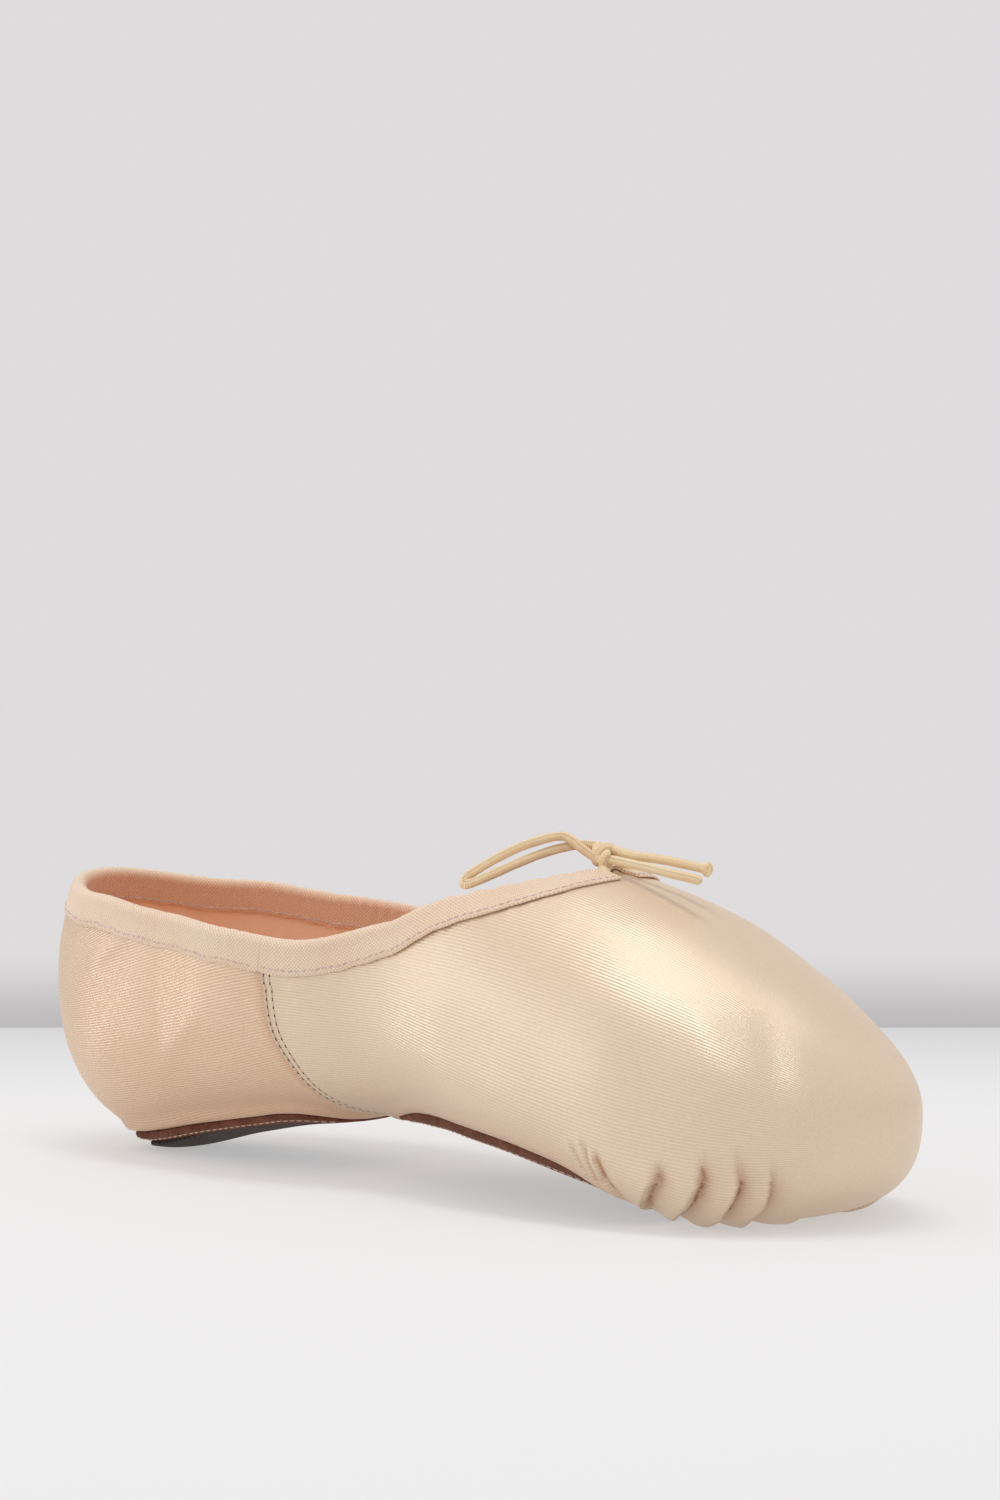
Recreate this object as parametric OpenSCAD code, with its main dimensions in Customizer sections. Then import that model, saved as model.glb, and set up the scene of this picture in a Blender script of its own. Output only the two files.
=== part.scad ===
// Split-sole satin ballet shoe with a stiffened toe box, a stretch heel
// quarter, a bound topline and a drawstring bow. Millimetres, +Z up,
// toe towards +X, the shoe stands on z = 0.

/* [Size] */
// Overall length from the back of the heel to the tip of the toe
shoe_length = 234; // [212:1:256]
// Width across the ball
ball_width = 78.8; // [72:0.4:86]
// Height scale of the upper, 1 = heel back about 64 mm high
height_scale = 1; // [0.92:0.01:1.08]

/* [Upper] */
// Thickness of the satin
satin_t = 0.8; // [0.6:0.1:0.9]
// Thickness of the cotton lining
lining_t = 0.7; // [0.5:0.1:0.8]
// Wall thickness of the stiffened toe box
box_t = 2.0; // [1.2:0.1:2.4]
// Gap between glued layers
layer_gap = 0.1; // [0.1:0.02:0.14]

/* [Binding] */
// Width of the binding tape below the folded edge
binding_w = 5.0; // [4:0.2:6]
// Thickness of the binding tape
binding_t = 0.55; // [0.4:0.05:0.7]
// Diameter of the elastic drawstring
cord_d = 2.1; // [1.6:0.1:2.1]

/* [Sole] */
// Thickness of the suede outsole patches
outsole_t = 1.5; // [1.2:0.1:1.5]
// Thickness of the dark tread pad under the heel
tread_t = 1.6; // [1.2:0.1:1.6]
// Thickness of the forefoot insole board
board_t = 1.4; // [1:0.1:2]
// Thickness of the foam pad under the heel
cushion_t = 2.4; // [1.5:0.1:3]
// Thickness of the sock cloth on top of the insoles
sock_t = 0.5; // [0.4:0.1:0.8]

/* [Stitching] */
// Length of one stitch
stitch_len = 2.3; // [1.6:0.1:2.6]
// Distance from one stitch to the next
stitch_pitch = 3.4; // [3:0.1:5]
// Thread width
thread_w = 0.5; // [0.3:0.05:0.7]

/* [Mesh] */
// Columns from the bottom centre line up to the topline
half_cols = 10; // [8:1:12]

/* [Hidden] */

kx = shoe_length / 234;
ky = ball_width / 78.8;
kz = height_scale;

// Stations along the length: heel back, start of the heel curve, start of the
// throat curve, front of the throat, start of the nose curve, tip of the toe.
XB = -115 * kx;
XH = -62 * kx;
X1 = 4 * kx;
XTH = 43.5 * kx;
XN = 84 * kx;
XT = 119 * kx;
// The origin is midway between the heel and the tip
XO = -(XB + XT) / 2;

// Half width by length
WT = [[-80, 31], [-62, 31.6], [-42, 34.8], [-22, 32], [0, 29], [25, 35.9], [50, 39.2],
    [75, 39.4], [100, 31.7], [119, 21.9]];
// Height of the satin's underside above the floor
LT = [[-115, 2.2], [-95, -0.3], [-62, 6.9], [-35, 11.9], [-10, 13.4], [10, 13],
    [30, 10.3], [55, 5.2], [68, 2.5], [80, 0.4], [92, -0.2], [119, 0.3]];
// Height of the widest line above the underside
MT = [[-115, 37.4], [-62, 32.4], [-20, 29.6], [30, 23.4], [60, 21.6], [90, 18.8],
    [119, 23.1]];
// Height of the crown of the upper above the underside
CT = [[-115, 87.8], [-62, 85], [-30, 80.6], [0, 69.3], [20, 63.2], [35, 62.2],
    [50, 62.2], [75, 58.3], [95, 48.8], [119, 37.9]];
// Height of the cut edge of the satin above the underside
TT = [[-115, 59.2], [-98, 56.6], [-76, 50.8], [-60, 47.4], [-40, 41.6], [-20, 37.9],
    [4, 43.2]];
// Length position of the side seam by height parameter, 0 = bottom, 1 = topline
ST = [[0, -10], [0.1, -15], [0.17, -19], [0.26, -22.4], [0.35, -24.9],
    [0.42, -27.2], [0.5, -28.4], [0.77, -29], [1, -29]];
// Half width of the forefoot outsole and of the heel outsole
FO = [[-9.5, 7.5], [-7.5, 11.5], [-4, 14.5], [1, 17.5], [8, 20.5], [18, 25], [35, 30.5],
    [47, 33], [60, 33.8], [68, 31.8], [73, 26], [75.5, 19.5]];
HO = [[-92, 6], [-88.5, 10.5], [-81, 14], [-70, 16], [-58, 16.6], [-45, 17.3],
    [-36, 17.5], [-30, 15.5], [-26, 11.5], [-24.5, 8]];
// Half width of the tread pad, and of the insoles
HT = [[-88, 5], [-85, 8.8], [-78, 11.4], [-68, 12.8], [-55, 13.2], [-42, 12.8],
    [-34, 10.5], [-31.5, 7.5]];
FI = [[-6, 11], [-3, 14.5], [15, 20], [33, 24.5], [50, 27.5], [70, 27.5], [86, 23],
    [94, 16.5], [97, 11]];
HI = [[-92, 8], [-89, 12], [-80, 16.5], [-68, 19], [-52, 20.5], [-36, 19.5],
    [-22, 15], [-18, 11.5]];

function tx(t, a, b) = [for (p = t) [p[0] * a, p[1] * b]];
W = tx(WT, kx, ky);
LIFT = tx(LT, kx, 1);
MID = tx(MT, kx, kz);
CROWN = tx(CT, kx, kz);
TOP = tx(TT, kx, kz);
FOREW = tx(FO, kx, ky);
HEELW = tx(HO, kx, ky);
TREADW = tx(HT, kx, ky);
FINW = tx(FI, kx, ky);
HINW = tx(HI, kx, ky);

n_low_heel = 2.37;   // squareness of the lower section at the heel
n_low_toe = 2.74;    // and at the toe
n_up = 2.1;         // squareness of the upper section
n_nose = 2.4;       // roundness of the nose in plan
n_heel = 2.04;       // roundness of the heel in plan
n_throat = 2.4;      // roundness of the throat
z_tip = 22.4 * kz;   // height of the tip of the toe

stack = satin_t + layer_gap;       // inset of the first layer inside the satin
edge_in = stack + lining_t;        // inset of the lining's inner face
SIDES = [for (i = [-half_cols : half_cols]) i];

// Smooth curve through a table
function seg(t, x, k = 0) = (k >= len(t) - 2 || x < t[k + 1][0]) ? k : seg(t, x, k + 1);
function slope(t, k) = (t[k + 1][1] - t[k][1]) / (t[k + 1][0] - t[k][0]);
function tang(t, k) = k == 0 ? slope(t, 0) : k == len(t) - 1 ? slope(t, k - 1)
    : (slope(t, k - 1) * (t[k + 1][0] - t[k][0]) + slope(t, k) * (t[k][0] - t[k - 1][0]))
        / (t[k + 1][0] - t[k - 1][0]);
function curve(t, x0) = let (x = max(t[0][0], min(t[len(t) - 1][0], x0)), k = seg(t, x),
    h = t[k + 1][0] - t[k][0], s = (x - t[k][0]) / h)
    (2 * s * s * s - 3 * s * s + 1) * t[k][1] + (s * s * s - 2 * s * s + s) * h * tang(t, k)
    + (3 * s * s - 2 * s * s * s) * t[k + 1][1] + (s * s * s - s * s) * h * tang(t, k + 1);
function clamp(a, lo, hi) = max(lo, min(hi, a));
function unit(v) = v / norm(v);

// Angle at which the section is cut by the topline
function cut(x, d) = let (m = curve(MID, x))
    asin(pow(clamp((curve(TOP, x) - m) / (curve(CROWN, x) - d - m), 0, 1), n_up / 2));
function rim_half(x, d) = (curve(W, x) - d) * pow(cos(cut(x, d)), 2 / n_up);
function throat_half(x, d) = let (q = clamp((x - X1) / (XTH - X1), 0, 1))
    rim_half(X1, d) * sqrt(max(0, 1 - pow(q, n_throat)));
function top_angle(x, d) = x <= X1 ? cut(x, d) : x >= XTH ? 90
    : acos(pow(clamp(throat_half(x, d) / (curve(W, x) - d), 0, 1), n_up / 2));

// A point of the upper: length x, height parameter v (negative on the right
// side), inset d from the satin's outer face, nose shrink k
function pt(x, v, d, k = 1) = let (a = abs(v), lf = curve(LIFT, x), m = lf + curve(MID, x),
    zb = z_tip + (lf + d - z_tip) * k, zm = z_tip + (m - z_tip) * k,
    zt = z_tip + (lf + curve(CROWN, x) - d - z_tip) * k, w = (curve(W, x) - d) * k,
    f = clamp((x - XH) / (XN - XH), 0, 1), nl = n_low_heel + (n_low_toe - n_low_heel) * f,
    th = 90 * min(1, a * 2), ph = max(0, a * 2 - 1) * top_angle(x, d),
    y = a <= 0.5 ? w * pow(sin(th), 2 / nl) : w * pow(max(0, cos(ph)), 2 / n_up),
    z = a <= 0.5 ? zm - (zm - zb) * pow(max(0, cos(th)), 2 / nl)
        : zm + (zt - zm) * pow(sin(ph), 2 / n_up))
    [x + XO, sign(v) * y, max(z, max(0, d))];

// The same at the round of the heel, al = 90 at its start, 180 at the back
function fan(al, v, d) = let (a = abs(v), c = abs(cos(al)), s = sin(al),
    ra = XH - XB - d, rw = curve(W, XH) - d,
    r0 = 1 / pow(pow(c / ra, n_heel) + pow(s / rw, n_heel), 1 / n_heel),
    xx = XB + (XH - XB) * (1 - c), m = curve(MID, xx),
    th = 90 * min(1, a * 2), ph = max(0, a * 2 - 1) * cut(xx, d),
    r = a <= 0.5 ? r0 * pow(sin(th), 2 / n_low_heel) : r0 * pow(cos(ph), 2 / n_up),
    z = a <= 0.5 ? m - (m - d) * pow(max(0, cos(th)), 2 / n_low_heel)
        : m + (curve(CROWN, xx) - d - m) * pow(sin(ph), 2 / n_up),
    px = XH + r * cos(al))
    [px + XO, sign(v) * r * s, z + curve(LIFT, px)];

// A point of the nose, t = 0 at its start, 90 at the tip
function nose(t, v, d) = let (x = XN + (XT - d - XN) * pow(sin(t), 2 / n_nose))
    pt(x, v, d, pow(max(0, cos(t)), 2 / n_nose));

// Inset of the lining's outer face: it steps in behind the toe box
function lin(x) = stack + (box_t + layer_gap)
    * pow(sin(90 * clamp((x - 48 * kx) / (7 * kx), 0, 1)), 2);

// ---- closed shells from two grids of points that share one layout ----
// hm(i, j) joins grid corners that are one point.
function flat(g) = [for (r = g) for (p = r) p];
function tris(a, b, c) = (a != b && b != c && a != c) ? [[a, b, c]] : [];
function patch_faces(R, C, off, flip, idx) = [for (i = [0 : R - 2]) for (j = [0 : C - 2])
    let (a = idx[i][j] + off, b = idx[i + 1][j] + off, c = idx[i + 1][j + 1] + off,
        e = idx[i][j + 1] + off)
    for (t = flip ? concat(tris(a, c, b), tris(a, e, c)) : concat(tris(a, b, c), tris(a, c, e))) t];
function wall(path, n) = [for (i = [0 : len(path) - 2]) let (p = path[i], q = path[i + 1])
    for (t = p == q ? [] : [[p, q, q + n], [p, q + n, p + n]]) t];
module shell(outer, inner, idx, edges, flip = false) {
    R = len(outer);
    C = len(outer[0]);
    n = R * C;
    w = [for (e = edges) for (t = wall(e, n)) t];
    polyhedron(points = concat(flat(outer), flat(inner)),
        faces = concat(patch_faces(R, C, 0, flip, idx), patch_faces(R, C, n, !flip, idx),
            flip ? [for (t = w) [t[0], t[2], t[1]]] : w), convexity = 10);
}
C = 2 * half_cols + 1;
function vcol(j) = (j - half_cols) / half_cols;
function at(i, j) = i * C + j;

// Vamp rows: the first part ends where the throat closes, then the nose
TA = [0, 8, 18, 36, 54, 70, 84];
function tau_x(t) = X1 + (XTH - X1) * pow(sin(t), 2 / n_throat);
RX = concat([for (i = [0 : 4]) -28.85 * kx + (X1 + 28.85 * kx) * i / 5], [for (t = TA) tau_x(t)]);
VS = concat([for (x = RX) (x - seam_x(1)) / (XN - seam_x(1))],
    [(XTH - seam_x(1)) / (XN - seam_x(1)), 0.745, 0.82, 0.88, 0.94, 1]);
NT = [14, 28, 42, 55, 67, 79, 90];
row_throat = 12;
row_box = 13;
rows_v = len(VS) + len(NT);
function seam_x(v) = kx * curve(ST, abs(v)) + 0.15;
function vamp_pt(i, v, d) = i < len(VS) ? let (x0 = seam_x(v), x = x0 + (XN - x0) * VS[i]) pt(x, v, d == undef ? lin(x) : d)
    : nose(NT[i - len(VS)], v, d == undef ? lin(XN) : d);
function vamp_grid(from, d, add = 0) = [for (i = [from : rows_v - 1]) [for (j = [0 : C - 1])
    let (x0 = seam_x(vcol(j)), x = i < len(VS) ? x0 + (XN - x0) * VS[i] : XN,
        dd = d == undef ? lin(x) + add : d) vamp_pt(i, vcol(j), dd)]];
function vamp_idx(from) = [for (i = [from : rows_v - 1]) [for (j = [0 : C - 1])
    i == rows_v - 1 ? at(i - from, 0) : (i >= row_throat && j == C - 1) ? at(i - from, 0) : at(i - from, j)]];
module vamp_shell(d0, d1, add0 = 0, add1 = 0) {
    idx = vamp_idx(0);
    shell(vamp_grid(0, d0, add0), vamp_grid(0, d1, add1), idx,
        [[for (j = [0 : C - 1]) idx[0][j]],
         [for (i = [row_throat : -1 : 0]) idx[i][0]],
         [for (i = [0 : row_throat]) idx[i][C - 1]]]);
}

// Heel rows: round of the heel, then forward to the side seam
HA = [180, 170, 159, 146, 132, 118, 104, 90];
HS = [0.25, 0.5, 0.75, 1];
rows_h = len(HA) + len(HS);
function heel_pt(i, v, d) = i < len(HA) ? fan(HA[i], v, d)
    : let (x1 = seam_x(v) - 0.3) pt(XH + (x1 - XH) * HS[i - len(HA)], v, d);
function heel_grid(d) = [for (i = [0 : rows_h - 1]) [for (j = [0 : C - 1]) heel_pt(i, vcol(j), d)]];
function heel_idx() = [for (i = [0 : rows_h - 1]) [for (j = [0 : C - 1])
    (i < len(HA) && j == half_cols) ? at(0, half_cols)
    : i == 0 ? at(0, j > half_cols ? C - 1 - j : j) : at(i, j)]];
module heel_shell(d0, d1) {
    idx = heel_idx();
    shell(heel_grid(d0), heel_grid(d1), idx,
        [[for (j = [C - 1 : -1 : 0]) idx[rows_h - 1][j]],
         [for (i = [rows_h - 1 : -1 : 0]) idx[i][0]],
         [for (i = [0 : rows_h - 1]) idx[i][C - 1]]]);
}

// ---- sole and insole pieces: a strip of the underside between two insets ----
function under(m, d, u, nl) = m - (m - d) * pow(1 - pow(clamp(u, 0, 0.97), nl), 1 / nl);
function base_pt(x, y, d) = x >= XH
    ? let (f = clamp((x - XH) / (XN - XH), 0, 1), nl = n_low_heel + (n_low_toe - n_low_heel) * f)
        [x + XO, y, curve(LIFT, x) + under(curve(MID, x), d, abs(y) / (curve(W, x) - d), nl)]
    : let (r = norm([x - XH, y]), c = (XH - x) / r, s = abs(y) / r, ra = XH - XB - d, rw = curve(W, XH) - d,
        r0 = 1 / pow(pow(c / ra, n_heel) + pow(s / rw, n_heel), 1 / n_heel), m = curve(MID, XB + (XH - XB) * (1 - c)))
        [x + XO, y, curve(LIFT, x) + under(m, d, r / r0, n_low_heel)];
PC = 9;
function steps(a, b, n) = [for (i = [0 : n]) a + (b - a) * (0.5 - 0.5 * cos(180 * i / n))];
function strip(t, xs, d) = [for (i = [0 : len(xs) - 1]) [for (j = [0 : PC - 1])
    base_pt(xs[i], (j / (PC - 1) * 2 - 1) * curve(t, xs[i]), d[i])]];
function ground(g) = [for (r = g) [for (p = r) [p[0], p[1], max(0, p[2])]]];
module sole_piece(t, xs, hi, lo) {
    R = len(xs);
    idx = [for (i = [0 : R - 1]) [for (j = [0 : PC - 1]) i * PC + j]];
    shell(ground(strip(t, xs, lo)), strip(t, xs, hi), idx,
        [[for (j = [0 : PC - 1]) idx[0][j]], [for (i = [0 : R - 1]) idx[i][PC - 1]],
         [for (j = [PC - 1 : -1 : 0]) idx[R - 1][j]], [for (i = [R - 1 : -1 : 0]) idx[i][0]]]);
}
FX = steps(-9.5 * kx, 75.5 * kx, 14);
HX = steps(-92 * kx, -24.5 * kx, 12);
TX = steps(-88 * kx, -31.5 * kx, 10);
FIX = steps(-6 * kx, 97 * kx, 14);
HIX = steps(-92 * kx, -18 * kx, 12);
// Gap between the satin and the outsoles, and between the lining and the insoles
sole_gap = 0.56;
board_gap = 0.5;
// The insoles rise a little off the lining at their outer ends
function lift_in(x) = 1.1 * clamp((x - 81 * kx) / (10 * kx), 0, 1) + 0.9 * clamp((-76 * kx - x) / (10 * kx), 0, 1);
// The forefoot outsole is skived thin towards the pleats
function skive(x) = outsole_t - 0.9 * clamp((x - 60 * kx) / (14 * kx), 0, 1);

// ---- topline: stations, frames, and sections swept along it ----
// Station: [kind, value, side], kind 0 = upper, kind 1 = round of the heel
RIGHT = [for (x = RX) [0, x, -1]];
LEFT = [for (i = [len(RIGHT) - 1 : -1 : 0]) [0, RIGHT[i][1], 1]];
BACK = concat([for (i = [0 : 3]) [0, -29.15 * kx + (XH + 29.15 * kx) * i / 4, 1]],
    [for (a = [90, 104, 118, 132, 146, 159, 170]) [1, a, 1]], [[1, 180, -1]],
    [for (a = [170, 159, 146, 132, 118, 104, 90]) [1, a, -1]],
    [for (i = [3 : -1 : 0]) [0, -29.15 * kx + (XH + 29.15 * kx) * i / 4, -1]]);
function rp(s, d) = s[0] == 0 ? pt(s[1], s[2], d) : fan(s[1], s[2], d);
// Level function of the upper half of the shell, and the outward normal from it
function level(p) = let (x = p[0] - XO, r = max(0.001, norm([x - XH, p[1]])), c = clamp((XH - x) / r, 0, 1),
    s = abs(p[1]) / r, mid = x >= XH, xx = mid ? x : XB + (XH - XB) * (1 - c),
    r0 = mid ? curve(W, x) : 1 / pow(pow(c / (XH - XB), n_heel) + pow(s / curve(W, XH), n_heel), 1 / n_heel),
    u = mid ? abs(p[1]) / r0 : r / r0, m = curve(MID, xx))
    pow(u, n_up) + pow(max(0, (p[2] - curve(LIFT, x) - m) / (curve(CROWN, xx) - m)), n_up);
function outward(p) = unit([for (k = [0 : 2]) let (e = [for (j = [0 : 2]) j == k ? 0.2 : 0]) level(p + e) - level(p - e)]);
function frame(S, i) = let (p = rp(S[i], 0), t = unit(rp(S[min(i + 1, len(S) - 1)], 0) - rp(S[max(i - 1, 0)], 0)),
    g = outward(p), n = unit(g - t * (g * t)), b = cross(t, n)) [p, n, b, t];
function frames(S) = [for (i = [0 : len(S) - 1]) frame(S, i)];
function put(f, q) = f[0] + f[1] * q[0] + f[2] * q[1];
mid_n = -edge_in / 2;
ch = cord_d / 2 + 0.2;
out_n = 0.42;        // gap between the tape and the satin
in_n = 0.55;         // gap between the tape and the lining
function tape(L) = [[out_n + binding_t, L], [out_n + binding_t, 0.5], [mid_n + ch + binding_t, -1],
    [mid_n + 0.75 * ch + binding_t, -2.5], [mid_n, -2.75 - binding_t], [mid_n - 0.75 * ch - binding_t, -2.5],
    [mid_n - ch - binding_t, -1], [-edge_in - in_n - binding_t, 0.5], [-edge_in - in_n - 1 - binding_t, L],
    [-edge_in - in_n - 1, L], [-edge_in - in_n, 0.45], [mid_n - ch, -0.95], [mid_n - 0.72 * ch, -2.3], [mid_n, -2.73],
    [mid_n + 0.72 * ch, -2.3], [mid_n + ch, -0.95], [out_n, 0.45], [out_n, L]];
module sweep(rings) {
    n = len(rings[0]);
    m = len(rings);
    polyhedron(points = flat(rings), faces = concat(
        [for (i = [0 : m - 2]) for (j = [0 : n - 1]) let (a = i * n + j, b = i * n + (j + 1) % n)
            for (t = [[a, b, b + n], [a, b + n, a + n]]) t],
        [[for (j = [n - 1 : -1 : 0]) j]], [[for (j = [0 : n - 1]) (m - 1) * n + j]]), convexity = 10);
}
// A channel section has hollow ends, so its ends are closed with strips
module channel(F) {
    prof = tape(binding_w);
    n = len(prof);
    h = n / 2;
    m = len(F);
    polyhedron(points = [for (f = F) for (q = prof) put(f, q)], faces = concat(
        [for (i = [0 : m - 2]) for (j = [0 : n - 1]) let (a = i * n + j, b = i * n + (j + 1) % n)
            for (t = j < h ? [[a, b, b + n], [a, b + n, a + n]] : [[a, b, a + n], [b, b + n, a + n]]) t],
        [for (j = [0 : h - 2]) for (t = [[j + 1, j, n - 1 - j], [j + 1, n - 1 - j, n - 2 - j]]) t],
        [for (j = [0 : h - 2]) let (o = (m - 1) * n) for (t = [[o + j, o + j + 1, o + n - 1 - j],
            [o + n - 1 - j, o + j + 1, o + n - 2 - j]]) t]), convexity = 10);
}

// ---- round cord along points ----
function cr(p, i, s) = let (a = p[max(0, i - 1)], b = p[i], c = p[i + 1], e = p[min(len(p) - 1, i + 2)])
    0.5 * (2 * b + (c - a) * s + (2 * a - 5 * b + 4 * c - e) * s * s + (3 * b - a - 3 * c + e) * s * s * s);
function smooth(p, n) = concat([for (i = [0 : len(p) - 2]) for (k = [0 : n - 1]) cr(p, i, k / n)], [p[len(p) - 1]]);
function path_dir(p, i) = unit(p[min(i + 1, len(p) - 1)] - p[max(i - 1, 0)]);
function carry(p, i = 0, u = [0, 0.3, 1]) = let (d = path_dir(p, i), a = unit(u - d * (u * d)))
    i == len(p) - 1 ? [a] : concat([a], carry(p, i + 1, a));
module cord(p, r) {
    U = carry(p);
    sweep([for (i = [0 : len(p) - 1]) let (d = path_dir(p, i), a = U[i], b = cross(a, d))
        [for (k = [0 : 7]) p[i] + r * (cos(45 * k) * a + sin(45 * k) * b)]]);
}
LOOP = [[39.2, -0.6, 75.3], [35.9, -2.1, 75.7], [32.5, -5.1, 74.9], [29.6, -8.5, 73.6], [27.4, -13.2, 71.9],
    [24.8, -17.2, 70], [22, -20.6, 68.2], [20.2, -22.2, 67.6], [19.8, -21.2, 69], [21.6, -18.4, 71.1],
    [24, -15, 73.3], [26.4, -11.8, 75.1], [29.1, -8.8, 76.5], [31.6, -6.3, 77.4], [33.6, -5.1, 77.6],
    [35.6, -4.6, 76.9], [37.6, -3.8, 75.2], [39.9, -2.4, 73]];
TAIL_U = [[43.6, 0.85, 74.1], [48, 1.1, 73.8], [54, 1.9, 73.3], [60.5, 2.6, 72.5], [67.3, 3.1, 71.5]];
TAIL_L = [[43.4, -1.3, 73], [48, -1.5, 72.4], [55, -2.5, 71.7], [62.5, -3.4, 70.8], [70.2, -4, 69.9]];
function kk(p) = [for (q = p) [q[0] * kx + XO, q[1] * ky, q[2] + (kz - 1) * 64]];
KNOT = [41.5 * kx + XO, -0.3 * ky, 74.1 + (kz - 1) * 64];

// ---- stitches: short flat bars above a line of [point, normal] pairs ----
function lerp(a, b, f) = a + (b - a) * f;
function run(L, i = 0, s = 0) = i == len(L) - 1 ? [s] : concat([s], run(L, i + 1, s + norm(L[i + 1][0] - L[i][0])));
function on(L, R, s, i = 0) = (i >= len(L) - 2 || s <= R[i + 1]) ? let (f = (s - R[i]) / (R[i + 1] - R[i]))
    [lerp(L[i][0], L[i + 1][0], f), unit(lerp(L[i][1], L[i + 1][1], f))] : on(L, R, s, i + 1);
module stitches(L, up, phase = 0) {
    R = run(L);
    total = R[len(R) - 1];
    n = floor((total - stitch_len - phase) / stitch_pitch);
    for (k = [0 : n]) {
        a = on(L, R, phase + k * stitch_pitch);
        b = on(L, R, phase + k * stitch_pitch + stitch_len);
        w = unit(cross(b[0] - a[0], a[1])) * thread_w / 2;
        q = [for (e = [a, b]) for (s = [-1, 1]) for (h = [up, up + 0.35]) e[0] + w * s + e[1] * h];
        polyhedron(points = q, faces = [[0, 1, 3, 2], [4, 6, 7, 5], [0, 4, 5, 1], [2, 3, 7, 6], [0, 2, 6, 4], [1, 5, 7, 3]]);
    }
}
function surf_line(side, off) = [for (v = [0.17 : 0.04 : 0.731]) let (x = seam_x(v) + off, p = pt(x, side * v, 0))
    [p, unit(pt(x, side * v, -1) - p)]];
function tape_line(F) = [for (f = F) [put(f, [out_n + binding_t, binding_w - 1.1]), f[1]]];
function edge_line(t, xs, inset, side) = [for (x = xs)
    [base_pt(x, side * max(1, curve(t, x) - inset), -sole_gap - skive(x)), [0, 0, -1]]];

SATIN = [0.91, 0.82, 0.72];
BLUSH = [0.93, 0.78, 0.68];
TAPE = [0.96, 0.84, 0.76];
CREAM = [0.95, 0.86, 0.70];
PEACH = [0.95, 0.70, 0.56];
BROWN = [0.45, 0.27, 0.20];
DARK = [0.13, 0.12, 0.12];
BOARD = [0.70, 0.58, 0.42];
THREAD = [0.97, 0.88, 0.80];

module vamp_satin() { color(SATIN) vamp_shell(0, satin_t); }
module vamp_lining() { color(PEACH) vamp_shell(undef, undef, 0, lining_t); }
module toe_box() {
    idx = vamp_idx(row_box);
    color(BOARD) shell(vamp_grid(row_box, stack), vamp_grid(row_box, stack + box_t), idx,
        [[for (j = [0 : C - 1]) idx[0][j]]]);
}
module insole_board() {
    color(BOARD) sole_piece(FINW, FIX, [for (x = FIX) lin(x) + lining_t + lift_in(x) + board_gap + board_t],
        [for (x = FIX) lin(x) + lining_t + lift_in(x) + board_gap]);
}
module forefoot_sock() {
    color(PEACH) sole_piece(FINW, FIX, [for (x = FIX) lin(x) + lining_t + lift_in(x) + board_gap + 0.1 + board_t + sock_t],
        [for (x = FIX) lin(x) + lining_t + lift_in(x) + board_gap + 0.1 + board_t]);
}
module forefoot_outsole() {
    color(BROWN) sole_piece(FOREW, FX, [for (x = FX) -sole_gap], [for (x = FX) -sole_gap - skive(x)]);
}
module heel_outsole() {
    color(BROWN) sole_piece(HEELW, HX, [for (x = HX) -sole_gap], [for (x = HX) -sole_gap - outsole_t]);
}
module heel_tread() {
    color(DARK) sole_piece(TREADW, TX, [for (x = TX) -sole_gap - 0.1 - outsole_t],
        [for (x = TX) -sole_gap - 0.1 - outsole_t - tread_t]);
}
module heel_cushion() {
    color(BOARD) sole_piece(HINW, HIX, [for (x = HIX) edge_in + lift_in(x) + board_gap + cushion_t], [for (x = HIX) edge_in + lift_in(x) + board_gap]);
}
module heel_sock() {
    color(PEACH) sole_piece(HINW, HIX, [for (x = HIX) edge_in + lift_in(x) + board_gap + 0.1 + cushion_t + sock_t],
        [for (x = HIX) edge_in + lift_in(x) + board_gap + 0.1 + cushion_t]);
}
module forefoot_outsole_stitching() { color(THREAD) for (s = [-1, 1])
    stitches(edge_line(FOREW, [for (x = FX) if (x < 70 * kx) x], 2.4, s), 0.3); }
module heel_outsole_stitching() { color(THREAD) for (s = [-1, 1])
    stitches(edge_line(HEELW, HX, 1.6, s), 0.3); }
module side_seam_stitching() {
    color(THREAD) for (s = [-1, 1]) for (o = [0.9, 2.4]) stitches(surf_line(s, o), 0.15, o);
}
module binding_right() { color(TAPE) channel(frames(RIGHT)); }
module binding_left() { color(TAPE) channel(frames(LEFT)); }
module binding_heel() { color(TAPE) channel(frames(BACK)); }
module binding_stitching_front() {
    color(THREAD) { stitches(tape_line(frames(RIGHT)), 0.3, 1); stitches(tape_line(frames(LEFT)), 0.3, 1); }
}
module binding_stitching_heel() { color(THREAD) stitches(tape_line(frames(BACK)), 0.3, 1); }
module drawstring() {
    color(CREAM) cord([for (F = [frames(LEFT), frames(BACK), frames(RIGHT)]) for (f = F) put(f, [mid_n, -1.45])], cord_d / 2 - 0.06);
}
module bow_knot() { color(CREAM) translate(KNOT) sphere(r = 2.5, $fn = 24); }
module bow_loop() { color(CREAM) cord(smooth(kk(LOOP), 2), cord_d / 2); }
module bow_tail_upper() { color(CREAM) cord(smooth(kk(TAIL_U), 2), cord_d / 2); }
module bow_tail_lower() { color(CREAM) cord(smooth(kk(TAIL_L), 2), cord_d / 2); }
module heel_satin() { color(BLUSH) heel_shell(0, satin_t); }
module heel_lining() { color(PEACH) heel_shell(stack, edge_in); }

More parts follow.
